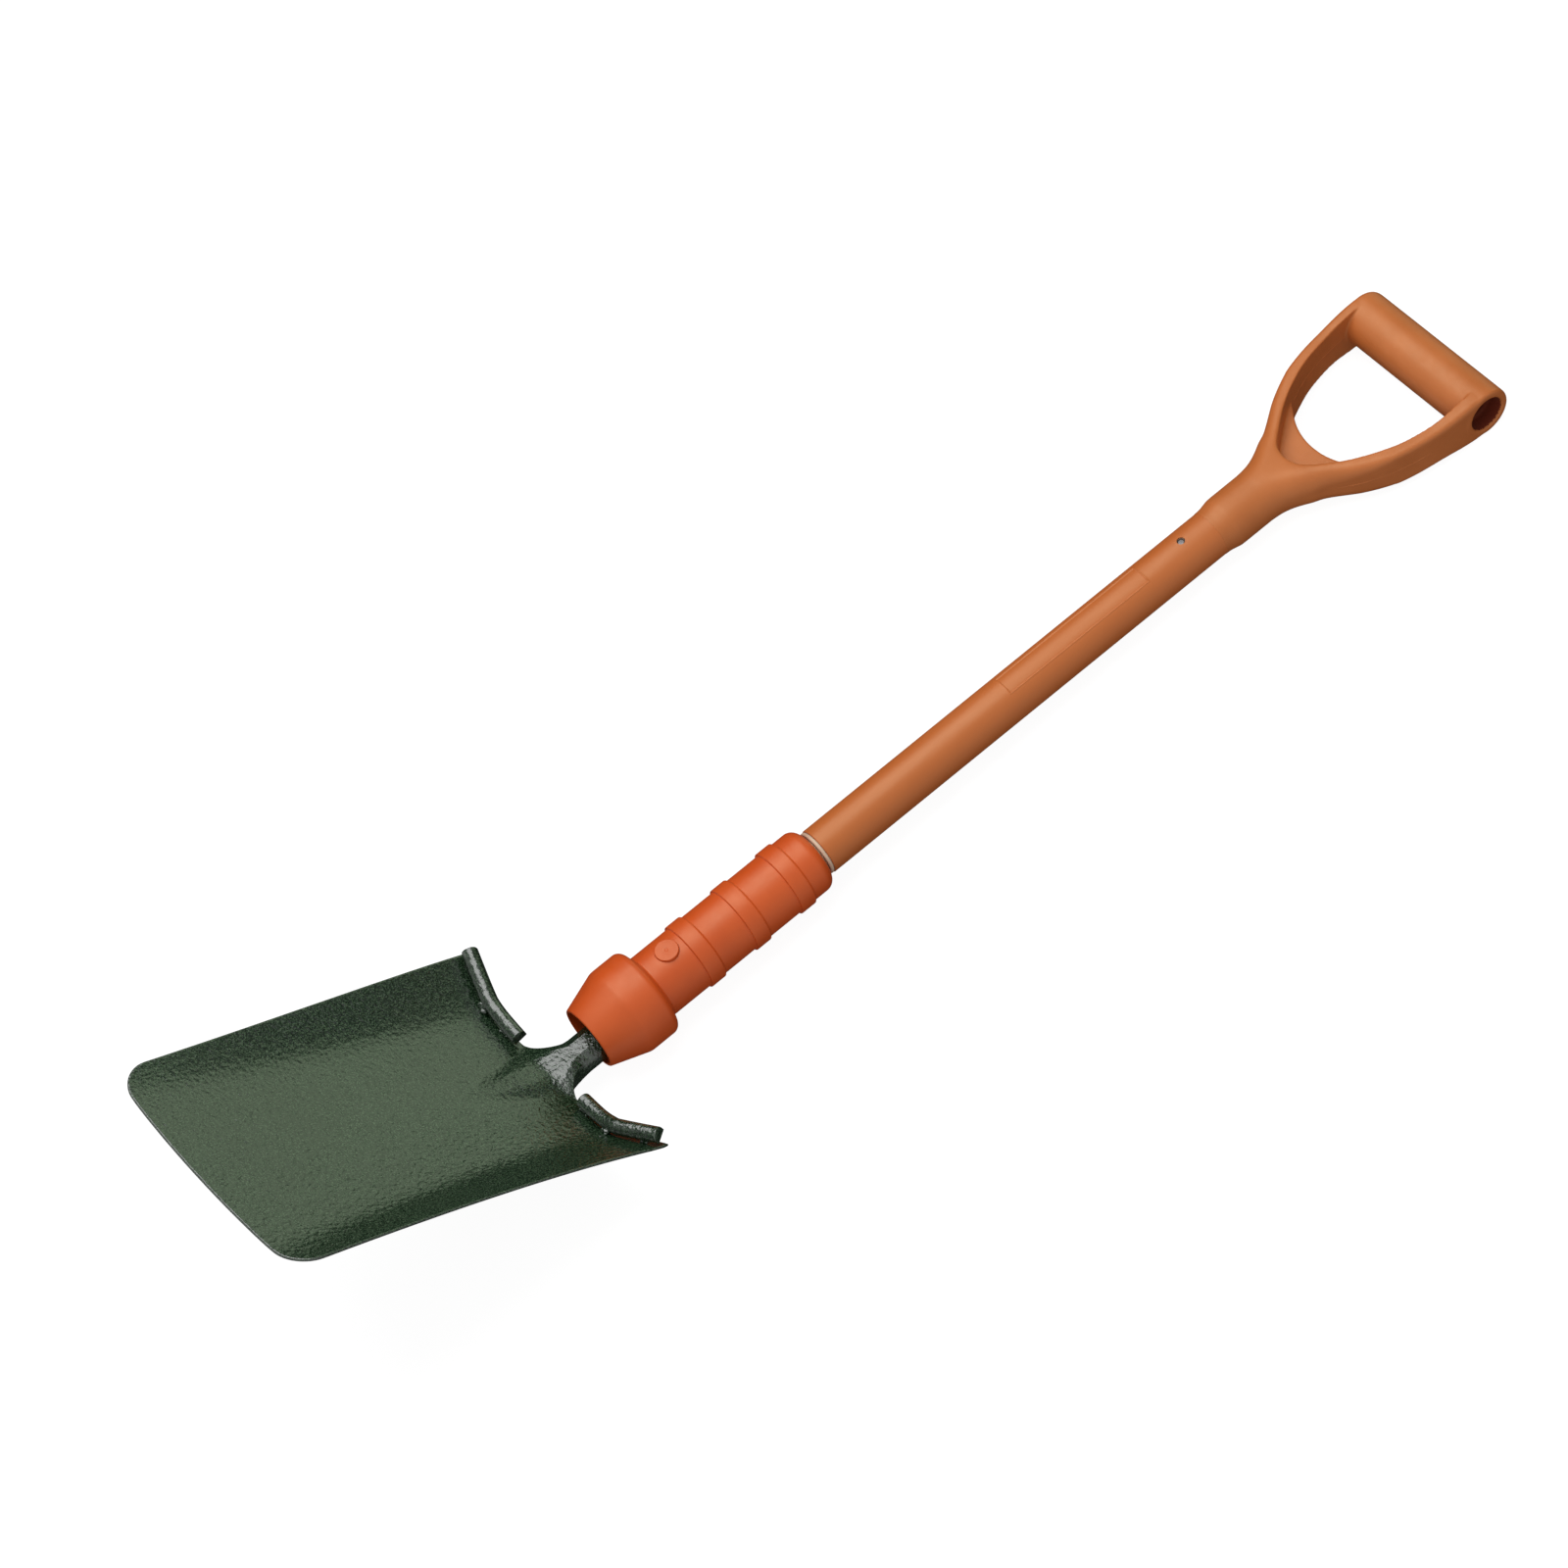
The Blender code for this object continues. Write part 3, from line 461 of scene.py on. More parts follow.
def green_paint():
    """Hammered powder coat: a glossy orange-peel skin with fine dark and light speckle."""
    look, tree, shader = new_material("green_paint", (0.006, 0.024, 0.011), 0.16, specular=1.0)
    set_inputs(shader, IOR=1.6)
    peel = noise_node(tree, 300.0, 1.0, 0.4)
    fine = noise_node(tree, 900.0, 2.0, 0.6)
    speckle = noise_node(tree, 850.0, 3.0, 0.75)
    broad = noise_node(tree, 11.0, 3.0, 0.5)
    flecks = [
        (0.40, (0.0, 0.005, 0.001)),
        (0.50, (0.004, 0.020, 0.006)),
        (0.62, (0.056, 0.096, 0.052)),
    ]
    colour = ramp_node(tree, speckle.outputs["Fac"], flecks)
    tint = tree.nodes.new("ShaderNodeMix")
    tint.data_type = "RGBA"
    set_inputs(tint, B=(0.012, 0.018, 0.009, 1.0))
    share = ramp_node(tree, broad.outputs["Fac"], [(0.45, 0.0), (0.75, 0.30)])
    tree.links.new(share.outputs["Color"], tint.inputs["Factor"])
    tree.links.new(colour.outputs["Color"], tint.inputs["A"])
    tree.links.new(tint.outputs["Result"], shader.inputs["Base Color"])
    rough = ramp_node(tree, speckle.outputs["Fac"], [(0.35, 0.12), (0.65, 0.26)])
    tree.links.new(rough.outputs["Color"], shader.inputs["Roughness"])
    bumps = [(peel.outputs["Fac"], 0.9, 0.00070), (fine.outputs["Fac"], 0.8, 0.00022)]
    bump_chain(tree, shader, bumps)
    return look


def moulded(name, colour, dark, light, roughness, grain_scale, grain, stretch=None):
    """Moulded polymer: an even colour with faint mottling and a fine satin grain."""
    look, tree, shader = new_material(name, colour, roughness, specular=0.70)
    set_inputs(shader, Specular_Tint=(1.0, 0.96, 0.66, 1.0))
    mottle = noise_node(tree, 22.0, 4.0, 0.55, stretch)
    fine = noise_node(tree, grain_scale, 3.0, 0.6)
    scuff = noise_node(tree, 160.0, 5.0, 0.7, stretch)
    base = ramp_node(tree, mottle.outputs["Fac"], [(0.30, dark), (0.5, colour), (0.72, light)])
    tree.links.new(base.outputs["Color"], shader.inputs["Base Color"])
    finish = [(0.3, roughness - 0.06), (0.7, roughness + 0.08)]
    rough = ramp_node(tree, scuff.outputs["Fac"], finish)
    tree.links.new(rough.outputs["Color"], shader.inputs["Roughness"])
    bumps = [(fine.outputs["Fac"], grain, 0.00025), (scuff.outputs["Fac"], grain * 0.4, 0.0002)]
    bump_chain(tree, shader, bumps)
    return look


def steel_look():
    look, tree, shader = new_material("bare_steel", (0.16, 0.15, 0.15), 0.42, metallic=1.0)
    marks = noise_node(tree, 300.0, 4.0, 0.6)
    rough = ramp_node(tree, marks.outputs["Fac"], [(0.3, 0.28), (0.7, 0.48)])
    tree.links.new(rough.outputs["Color"], shader.inputs["Roughness"])
    bump_chain(tree, shader, [(marks.outputs["Fac"], 0.15, 0.0001)])
    return look


GREEN = green_paint()
# Each polymer: colour, darker and lighter mottling, roughness, grain scale and strength.
BOOT_ORANGE = moulded(
    "boot_polymer", (0.60, 0.078, 0.009), (0.56, 0.068, 0.007), (0.64, 0.088, 0.011),
    0.42, 1500.0, 0.20,
)
SHAFT_ORANGE = moulded(
    "shaft_polymer", (0.50, 0.125, 0.026), (0.46, 0.110, 0.021), (0.54, 0.140, 0.032),
    0.42, 1300.0, 0.16, (0.12, 1.0, 1.0),
)
HANDLE_ORANGE = moulded(
    "handle_polymer", (0.50, 0.135, 0.031), (0.46, 0.120, 0.025), (0.54, 0.150, 0.037),
    0.47, 900.0, 0.30,
)
PALE = moulded(
    "pale_layer", (0.62, 0.44, 0.32), (0.52, 0.34, 0.24), (0.70, 0.54, 0.42),
    0.45, 900.0, 0.2,
)
FIBRE = moulded(
    "glass_fibre", (0.62, 0.58, 0.40), (0.50, 0.46, 0.30), (0.70, 0.66, 0.50),
    0.5, 700.0, 0.3, (0.1, 1.0, 1.0),
)
FOAM = moulded(
    "foam", (0.68, 0.60, 0.36), (0.60, 0.50, 0.28), (0.76, 0.70, 0.46), 0.85, 500.0, 0.7
)
STEEL = steel_look()
# A darker red-brown copy of the handle's polymer: painted shade for the inside of the grip's bore.
BORE_PAINTED_SHADE = moulded(
    "bore_painted_shade", (0.16, 0.010, 0.001), (0.12, 0.007, 0.001), (0.20, 0.014, 0.002),
    0.8, 900.0, 0.2,
)

# ---- the steel head's surface

BEND_R = BEND_TANGENT / math.tan(BLADE_LIFT / 2)
BEND_LENGTH = BEND_R * BLADE_LIFT
NECK_MEETS = (HEEL_Z + NECK_DROP) / math.sin(BLADE_LIFT)
BEND_END = BEND_TANGENT - NECK_MEETS
BEND_START = BEND_END - BEND_LENGTH
BEND_START_X = HEEL_X + NECK_MEETS * math.cos(BLADE_LIFT) + BEND_TANGENT


def sigma_at(x):
    return BEND_START - (x - BEND_START_X)


def middle_line(sigma):
    """The head's middle line: x, z and the surface's tilt, along the neck, bend and blade."""
    if sigma >= BEND_END:
        x = HEEL_X - sigma * math.cos(BLADE_LIFT)
        z = HEEL_Z + sigma * math.sin(BLADE_LIFT)
        return x, z, BLADE_LIFT
    if sigma >= BEND_START:
        turn = (sigma - BEND_START) / BEND_R
        x = BEND_START_X - BEND_R * math.sin(turn)
        z = -NECK_DROP + BEND_R * (1.0 - math.cos(turn))
        return x, z, turn
    x = BEND_START_X + (BEND_START - sigma)
    z = -NECK_DROP * smoothstep(-x, *NECK_FALL)
    return x, z, 0.0


def neck_widening(x):
    """Zero in the neck and one in the socket."""
    return 1.0 - smoothstep(-x, *NECK_TAPER)


def neck_half_width(x):
    return NECK_HALF_WIDTH + (SOCKET_R - NECK_HALF_WIDTH) * neck_widening(x)


def neck_half_depth(x):
    return NECK_HALF_DEPTH + (SOCKET_R - NECK_HALF_DEPTH) * neck_widening(x)


def soft_least(a, b, blend):
    """The lesser of two values, with the corner between them rounded."""
    share = min(1.0, max(0.0, 0.5 + 0.5 * (b - a) / blend))
    return b + (a - b) * share - blend * share * (1.0 - share)


def soft_most(a, b, blend):
    return -soft_least(-a, -b, blend)


def forged_section(across):
    """The forged neck's outline: a flat top, chamfered shoulders and steep sides."""
    chamfer = 1.0 - (across - 0.40) * 0.95
    side = (1.0 - across) * 7.0
    height = soft_least(soft_least(1.0, chamfer, 0.10), side, 0.16)
    return max(0.0, min(1.0, height / 0.978))


def round_section(across):
    return math.sqrt(max(0.0, 1.0 - across * across))


def ridge_profile(sigma, x):
    """Height of the ridge above the sheet, of the rib below it, and their half width."""
    half = BLADE_THICKNESS / 2
    if sigma < BEND_START:
        depth = neck_half_depth(x) - half
        return depth, depth, neck_half_width(x)
    neck = NECK_HALF_DEPTH - half
    settle = smoothstep(sigma, BEND_START, 0.0)
    _, z, tilt = middle_line(sigma)
    crest = NECK_HALF_DEPTH - NECK_DROP + RIDGE_CLIMB * max(0.0, BEND_START_X - x)
    level = (crest - z) / math.cos(tilt) - half + centre_dip(sigma, 0.0)
    low = RIDGE_HEIGHT * (1.0 - smoothstep(sigma, RIDGE_FADE_START, RIDGE_LENGTH))
    top = soft_most(level, low, RIDGE_BLEND)
    back = 1.0 - smoothstep(sigma, *BACK_RIB_FADE)
    width = NECK_HALF_WIDTH + (RIDGE_HALF_WIDTH - NECK_HALF_WIDTH) * settle
    width += (RIDGE_END_HALF_WIDTH - RIDGE_HALF_WIDTH) * min(1.0, max(0.0, sigma / RIDGE_LENGTH))
    return top, neck * back, width


def centre_dip(sigma, v):
    """How far the middle of the blade sinks beside and beyond the ridge."""
    across = min(1.0, abs(v) / CENTRE_DIP_HALF_WIDTH)
    along = smoothstep(sigma, *CENTRE_DIP_RISE) * (1.0 - smoothstep(sigma, *CENTRE_DIP_FALL))
    return CENTRE_DIP * along * (1.0 - across * across) ** 2


def wing_height(sigma, v):
    """How far the blade's sides turn up beyond its flat middle."""
    ahead = max(sigma, 0.0)
    base, linear, square = WING_SLOPES
    slope = max(0.0, base + linear * ahead + square * ahead * ahead)
    start = WING_START + WING_START_GAIN * ahead
    past = abs(v) - start
    bend = (math.hypot(past, WING_SOFTNESS) + past) / 2
    level = (math.hypot(start, WING_SOFTNESS) - start) / 2
    bow = DISH_DEPTH * (v / BLADE_REAR_HALF_WIDTH) ** 2
    return slope * (bend - level) + bow


def sheet_offsets(sigma, v):
    """Heights of the head's top and bottom surfaces above its flat plane."""
    x, _, _ = middle_line(sigma)
    in_neck = 1.0 - smoothstep(sigma, *NECK_INTO_BLADE)
    top, bottom, width = ridge_profile(sigma, x)
    across = min(1.0, abs(v) / width)
    widened = neck_widening(x)
    section = round_section(across) * widened + forged_section(across) * (1.0 - widened)
    bump = in_neck * section
    bump += (1.0 - in_neck) * (1.0 - smoothstep(across, RIDGE_FLAT_SHARE, 1.0))
    half = BLADE_THICKNESS / 2
    middle = wing_height(sigma, v) - centre_dip(sigma, v)
    return middle + half + top * bump, middle - half - bottom * bump


def place(sigma, v, height):
    """The point at sigma along the head, v across it and height off it; the blade lies flat."""
    x, z, tilt = middle_line(sigma)
    bent = Vector((x + height * math.sin(tilt), v, z + height * math.cos(tilt)))
    straight_x = HEEL_X - sigma * math.cos(BLADE_LIFT) + height * math.sin(BLADE_LIFT)
    straight_z = HEEL_Z + sigma * math.sin(BLADE_LIFT) + height * math.cos(BLADE_LIFT)
    share = smoothstep(abs(v), STRAIGHT_FROM_V, STRAIGHT_BY_V)
    return bent.lerp(Vector((straight_x, v, straight_z)), share)


def blade_half_width(sigma):
    linear, square = BLADE_WAIST
    return BLADE_REAR_HALF_WIDTH + linear * sigma + square * sigma * sigma


def shoulder_line(v):
    """The sigma of the blade's rear edge at v."""
    if abs(v) < TREAD_BEND_V:
        share = (abs(v) - SHOULDER_FILLET_V) / (TREAD_BEND_V - SHOULDER_FILLET_V)
        return SHOULDER_START + (SHOULDER_BACK - SHOULDER_START) * share
    share = (abs(v) - TREAD_BEND_V) / (BLADE_REAR_HALF_WIDTH - TREAD_BEND_V)
    return SHOULDER_BACK + (SHOULDER_TIP_BACK - SHOULDER_BACK) * share


def left_shift(v, end):
    """The left wing's rear corner was cut a little further forward than the right one's."""
    reach = smoothstep(v, LEFT_TIP_FROM_V, BLADE_REAR_HALF_WIDTH)
    return LEFT_TIP_AHEAD * reach * (1.0 - smoothstep(end, 0.0, LEFT_TIP_LENGTH))


def tread_front(side, v):
    """Where a foot tread's front bottom edge runs at v: sigma, and height off the sheet."""
    inner, bend, outer = TREAD_FRONTS["left" if side > 0 else "right"]
    low, high = (inner, bend) if v < bend[0] else (bend, outer)
    share = (v - low[0]) / (high[0] - low[0])
    return low[1] + (high[1] - low[1]) * share, low[2] + (high[2] - low[2]) * share


def head_rows():
    """Rows across the head, as (middle sigma, half width, sigma at the row's ends)."""
    rows = []
    neck_xs = [SOCKET_MOUTH_X, -0.05, -0.10, -0.135] + [-0.1400 - 0.0025 * i for i in range(32)]
    for x in neck_xs:
        rows.append((sigma_at(x), neck_half_width(x), sigma_at(x)))
    fillet_start = SHOULDER_START - SHOULDER_FILLET_R
    centre_end = 0.0010
    start_v = NECK_HALF_WIDTH
    fillet_rows = 14
    for i in range(fillet_rows + 1):
        share = i / fillet_rows
        turn = share * math.pi / 2
        reach = SHOULDER_FILLET_V - start_v
        end_v = SHOULDER_FILLET_V - reach * math.cos(turn)
        end_sigma = fillet_start + SHOULDER_FILLET_R * math.sin(turn)
        rows.append((fillet_start + (centre_end - fillet_start) * share, end_v, end_sigma))
    rear_end = 0.0300
    rear_rows = 26
    for i in range(1, rear_rows + 1):
        share = i / rear_rows
        end_v = SHOULDER_FILLET_V + (BLADE_REAR_HALF_WIDTH - SHOULDER_FILLET_V) * share
        middle = centre_end + (rear_end - centre_end) * share
        rows.append((middle, end_v, shoulder_line(end_v)))
    corner_start = BLADE_FRONT - BLADE_FRONT_BOW - BLADE_CORNER_R
    side_rows = 84
    for i in range(1, side_rows + 1):
        share = i / side_rows
        end_sigma = SHOULDER_TIP_BACK + (corner_start - SHOULDER_TIP_BACK) * share
        middle = rear_end + (corner_start + 0.0020 - rear_end) * share
        rows.append((middle, blade_half_width(end_sigma), end_sigma))
    front_width = blade_half_width(corner_start) - BLADE_CORNER_R
    corner_rows = 12
    for i in range(1, corner_rows + 1):
        turn = i / corner_rows * math.pi / 2
        end_sigma = corner_start + BLADE_CORNER_R * math.sin(turn)
        end_v = front_width + BLADE_CORNER_R * math.cos(turn)
        rows.append((end_sigma + BLADE_FRONT_BOW * math.sin(turn), end_v, end_sigma))
    return rows


def head_mesh(columns):
    """The head's top and bottom surfaces as grids of points, joined by a rounded rim."""
    rows = head_rows()
    top = []
    bottom = []
    for middle, half_width, end in rows:
        inner = half_width - RIM_BULGE
        high = []
        low = []
        for j in range(columns + 1):
            share = 2 * j / columns - 1
            share = 0.7 * share + 0.3 * math.sin(math.pi / 2 * share)
            v = inner * share
            sigma = middle + (end - middle) * share * share
            sigma += left_shift(v, sigma)
            above, below = sheet_offsets(sigma, v)
            high.append(place(sigma, v, above))
            low.append(place(sigma, v, below))
        top.append(high)
        bottom.append(low)
    last = len(rows) - 1
    points = [p for row in top for p in row]
    lower = len(points)
    points += [p for row in bottom for p in row]
    width = columns + 1
    faces = []
    for i in range(last):
        for j in range(columns):
            a = i * width + j
            faces.append((a, a + width, a + width + 1, a + 1))
            faces.append((lower + a, lower + a + 1, lower + a + width + 1, lower + a + width))
    border = [i * width for i in range(last)]
    border += [last * width + j for j in range(columns)]
    border += [i * width + columns for i in range(last, -1, -1)]
    rim_steps = 6
    rim = []
    for k, index in enumerate(border):
        upper_point = points[index]
        lower_point = points[lower + index]
        centre = (upper_point + lower_point) / 2
        half = (upper_point - lower_point) / 2
        ahead = points[border[min(k + 1, len(border) - 1)]]
        behind = points[border[max(k - 1, 0)]]
        along = (ahead - behind).normalized()
        outward = half.normalized().cross(along).normalized()
        if k > 2 and outward.dot(rim_side) < 0:
            outward.negate()
        elif k <= 2:
            outward = Vector((0.0, -1.0, 0.0))
        rim_side = outward
        ring = [index]
        for step in range(1, rim_steps):
            turn = math.pi * step / rim_steps
            points.append(centre + outward * (RIM_BULGE * math.sin(turn)) + half * math.cos(turn))
            ring.append(len(points) - 1)
        ring.append(lower + index)
        rim.append(ring)
    for k in range(len(rim) - 1):
        for step in range(rim_steps):
            faces.append((rim[k][step], rim[k][step + 1], rim[k + 1][step + 1], rim[k + 1][step]))
    cap = list(rim[0]) + [lower + j for j in range(1, columns)]
    cap += list(reversed(rim[-1])) + [j for j in range(columns - 1, 0, -1)]
    faces.append(tuple(cap))
    return points, faces


def make_head():
    points, faces = head_mesh(140)
    head = mesh_from("blade_and_socket", points, faces)
    tidy_normals(head)
    past_mouth = 0.0200
    bore = disc_profile(SOCKET_BORE_R, past_mouth, SOCKET_FLOOR_X)
    head = boolean(head, turned("socket_bore", bore, closed=False, sides=64))
    for x in RIVET_XS:
        head = drilled(head, "rivet_hole", RIVET_HOLE_R, x, 24)
    return finished(head, ["shovel_head"], GREEN, 60)


# ---- foot treads and welds


def on_sheet(v, sigma):
    above, _ = sheet_offsets(sigma, v)
    return place(sigma, v, above)


def seat_on_sheet(side, v, sigma, height):
    """A point at that height off the sheet, and the sheet's normal there."""
    step = 0.0005
    point = on_sheet(v, sigma)
    ahead = on_sheet(v, sigma + step) - point
    outward = on_sheet(v + step, sigma) - point
    normal = ahead.cross(outward).normalized()
    if normal.z < 0:
        normal.negate()
    raised = point + normal * height
    raised.y *= side
    normal.y *= side
    return raised, normal


def tread_section():
    """The half-round bar's section: flat below, short upright sides and a crowned top."""
    points = [(0.0, 0.0), (2 * TREAD_HALF_WIDTH, 0.0)]
    crown = TREAD_HEIGHT - TREAD_SIDE_HEIGHT
    steps = 26
    for i in range(steps + 1):
        turn = math.pi * i / steps
        across = math.cos(turn)
        across = math.copysign(abs(across) ** 0.94, across) * TREAD_HALF_WIDTH + TREAD_HALF_WIDTH
        rise = max(0.0, math.sin(turn)) ** 0.90
        points.append((across, TREAD_SIDE_HEIGHT + crown * rise))
    return points


def make_tread(label, side):
    section = tread_section()
    stations = 64
    upward = Vector((-math.sin(TREAD_LEAN), 0.0, math.cos(TREAD_LEAN)))
    inner_v, outer_v = TREAD_FRONTS[label][0][0], TREAD_FRONTS[label][2][0]
    seats = []
    for i in range(stations):
        v = inner_v + (outer_v - inner_v) * i / (stations - 1)
        sigma, lift = tread_front(side, v)
        seats.append(seat_on_sheet(side, v, sigma, TREAD_SEAT_GAP + lift)[0])
    rings = []
    for i, seat in enumerate(seats):
        along = (seats[min(stations - 1, i + 3)] - seats[max(0, i - 3)]).normalized()
        across = along.cross(upward).normalized()
        if across.x < 0:
            across.negate()
        up = (upward - along * upward.dot(along)).normalized()
        rings.append([seat + across * a + up * b for a, b in section])
    tread = tube("foot_tread_" + label, rings)
    corners = {"limit_method": "ANGLE", "angle_limit": math.radians(55)}
    modified(tread, "BEVEL", width=0.0006, segments=3, **corners)
    return finished(baked(tread), ["tread_" + label], GREEN, 50)


def blob_cluster(name, blobs, voxel=0.00045, wobble=0.0005, seed=0.0):
    """Weld metal: overlapping rounded blobs melted into one lumpy bead."""
    build = bmesh.new()
    for centre, radii, axes in blobs:
        made = bmesh.ops.create_icosphere(build, subdivisions=3, radius=1.0)
        for vertex in made["verts"]:
            local = vertex.co.copy()
            vertex.co = centre + axes[0] * (local.x * radii[0]) + axes[1] * (local.y * radii[1])
            vertex.co += axes[2] * (local.z * radii[2])
    mesh = bpy.data.meshes.new(name)
    build.to_mesh(mesh)
    build.free()
    bead = linked(name, mesh)
    modified(bead, "REMESH", mode="VOXEL", voxel_size=voxel)
    modified(bead, "SMOOTH", factor=0.6, iterations=3)
    bead = baked(bead)
    noise.seed_set(NOISE_SEED)
    for vertex in bead.data.vertices:
        shift = noise.noise_vector(vertex.co * 420.0 + Vector((seed, seed, seed)))
        vertex.co += shift * wobble
    return bead


def blade_axes(side, v, sigma):
    """A point on the sheet, and the directions there: forward, across and out of it."""
    point, normal = seat_on_sheet(side, v, sigma, 0.0)
    forward = Vector((-math.cos(BLADE_LIFT), 0.0, math.sin(BLADE_LIFT)))
    across = normal.cross(forward).normalized()
    forward = across.cross(normal).normalized()
    return point, (forward, across, normal)


WELD_NODES = {"bend": "tread_weld_", "inner": "tread_tack_inner_", "outer": "tread_tack_outer_"}


def make_bead(kind, label, side, v, blobs, seed):
    """Weld metal by a tread; a blob is (ahead of its front edge, along it, up, radii)."""
    base, _ = tread_front(side, v)
    placed = []
    for ahead, along, up, radii in blobs:
        point, axes = blade_axes(side, v + along, base + ahead)
        placed.append((point + axes[2] * up, radii, axes))
    name = "weld_" + kind + "_" + label
    bead = blob_cluster(name, placed, seed=seed)
    return finished(bead, [WELD_NODES[kind] + label], GREEN, 180)


# ---- boot


def boot_profile():
    points = [(BOOT_LIP_R, BOOT_TOP_X)]
    radii = [0.0004]
    dome_r = BOOT_R - BOOT_DOME_R
    dome_x = BOOT_TOP_X - BOOT_DOME_R
    for i in range(15):
        turn = math.pi / 2 * (1.0 - i / 14)
        radius = dome_r + BOOT_DOME_R * math.cos(turn)
        points.append((radius, dome_x + BOOT_DOME_R * math.sin(turn)))
        radii.append(0.0)
    for centre in BOOT_RIB_CENTRES:
        upper = centre + BOOT_RIB_HALF
        lower = centre - BOOT_RIB_HALF
        points += [
            (BOOT_R, upper),
            (BOOT_RIB_R, upper - 0.0010),
            (BOOT_RIB_R, lower + 0.0003),
            (BOOT_R, lower),
        ]
        radii += [0.0006, 0.0007, 0.0005, 0.0003]
    points.append((BOOT_R, FLANGE_TOP_X))
    radii.append(0.0006)
    for i in range(12):
        turn = math.pi / 2 * (1.0 - i / 11)
        radius = FLANGE_R - FLANGE_ROUND + FLANGE_ROUND * math.cos(turn)
        drop = FLANGE_SLANT + FLANGE_ROUND * (1.0 - math.sin(turn))
        points.append((radius, FLANGE_TOP_X - drop))
        radii.append(0.0)
    points += [
        (FLANGE_R, FLANGE_BOTTOM_X),
        (SKIRT_RIM_R, SKIRT_RIM_X),
        (SKIRT_RIM_BORE_R, SKIRT_RIM_X),
        (FLANGE_R - SKIRT_WALL, FLANGE_BOTTOM_X),
        (FLANGE_R - SKIRT_WALL, SKIRT_FLOOR_X - 0.0050),
        (FLANGE_R - SKIRT_WALL - 0.0050, SKIRT_FLOOR_X),
        (BOOT_BORE_R, SKIRT_FLOOR_X),
        (BOOT_BORE_R, BOOT_LIP_X),
        (BOOT_LIP_R, BOOT_LIP_X),
    ]
    radii += [0.0022, 0.0010, 0.0006, 0.002, 0.001, 0.001, 0.0005, 0.0, 0.0]
    return rounded(points, radii)


def make_boot():
    boot = turned("ribbed_boot", boot_profile(), sides=144)
    seat = stud("plug_seat", PLUG_R + 0.0002, PLUG_X, 0.0100, 0.0400, 64)
    boot = boolean(boot, seat)
    return finished(boot, ["insulating_boot"], BOOT_ORANGE, 35)


def make_plug():
    """The blank round plug, with a shallow moulding mark in its middle."""
    outline = [
        (0.0, PLUG_TOP_Z - 0.0003),
        (0.0010, PLUG_TOP_Z - 0.0003),
        (0.0014, PLUG_TOP_Z),
        (PLUG_R, PLUG_TOP_Z),
        (PLUG_R, PLUG_SEAT_Z),
        (0.0, PLUG_SEAT_Z),
    ]
    profile = rounded(outline, [0.0, 0.0002, 0.0002, 0.0007, 0.0002, 0.0])
    plug = turned("rivet_cover_plug", profile, closed=False, sides=72, axis="Z", x=PLUG_X)
    return finished(plug, ["boot_plug"], BOOT_ORANGE, 35)


# ---- shaft


def sheath_radius(x, angle):
    """The sheath's skin, with the blank label panel's fine raised border."""
    inset = min(x - LABEL_START_X, LABEL_END_X - x)
    side = (LABEL_HALF_ANGLE - abs(angle)) * SHEATH_R
    inside = min(inset, side)
    border = max(0.0, 1.0 - abs(inside + LABEL_BORDER_OUTSIDE) / LABEL_BORDER_HALF)
    sunk = smoothstep(inside, 0.0, 0.0005)
    return SHEATH_R + LABEL_BORDER_HEIGHT * border - LABEL_SINK * sunk


def label_steps(low, high, fine_low, fine_high, coarse):
    """Places from low to high, closely spaced where the label panel's border runs."""
    places = set()
    count = max(2, int(round((high - low) / coarse)))
    for i in range(count + 1):
        places.add(round(low + (high - low) * i / count, 6))
    for edge in (fine_low, fine_high):
        for k in range(-7, 8):
            places.add(round(edge + k * 0.00016, 6))
    return sorted(p for p in places if low <= p <= high)


def make_sheath():
    xs = label_steps(SHEATH_START_X + 0.0004, SHAFT_END_X, LABEL_START_X, LABEL_END_X, 0.004)
    arc = LABEL_HALF_ANGLE * SHEATH_R
    arcs = label_steps(-math.pi * SHEATH_R, math.pi * SHEATH_R, -arc, arc, 0.0009)[:-1]
    rings = [[(SHEATH_START_X, SHEATH_BORE_R, a / SHEATH_R) for a in arcs]]
    rings.append([(SHEATH_START_X, SHEATH_R - 0.0004, a / SHEATH_R) for a in arcs])
    for x in xs:
        rings.append([(x, sheath_radius(x, a / SHEATH_R), a / SHEATH_R) for a in arcs])
    rings.append([(SHAFT_END_X, SHEATH_BORE_R, a / SHEATH_R) for a in arcs])
    points = []
    for ring in rings:
        for x, radius, angle in ring:
            points.append((x, radius * math.sin(angle), radius * math.cos(angle)))
    count = len(arcs)
    faces = []
    for i in range(len(rings)):
        after = (i + 1) % len(rings)
        for j in range(count):
            k = (j + 1) % count
            faces.append((i * count + j, i * count + k, after * count + k, after * count + j))
    sheath = mesh_from("outer_sheath", points, faces)
    tidy_normals(sheath)
    sheath = drilled(sheath, "sheath_hole", PIN_HOLE_R, PIN_X, 40)
    return finished(sheath, ["shaft_sheath"], SHAFT_ORANGE, 40)


def make_ring():
    """The pale inner layer, whose rounded end shows as a ring above the boot."""
    outline = [
        (SLEEVE_R, SHAFT_END_X),
        (SLEEVE_R, 0.0029),
        (SLEEVE_RING_R, 0.0029),
        (SLEEVE_RING_R, 0.0004),
        (SLEEVE_BORE_R, 0.0004),
        (SLEEVE_BORE_R, SHAFT_END_X),
    ]
    ring = turned("inner_layer", rounded(outline, [0.0, 0.0, 0.0004, 0.0012, 0.0002, 0.0]))
    ring = drilled(ring, "ring_hole", PIN_HOLE_R, PIN_X, 40)
    return finished(ring, ["inner_sleeve"], PALE, 40)


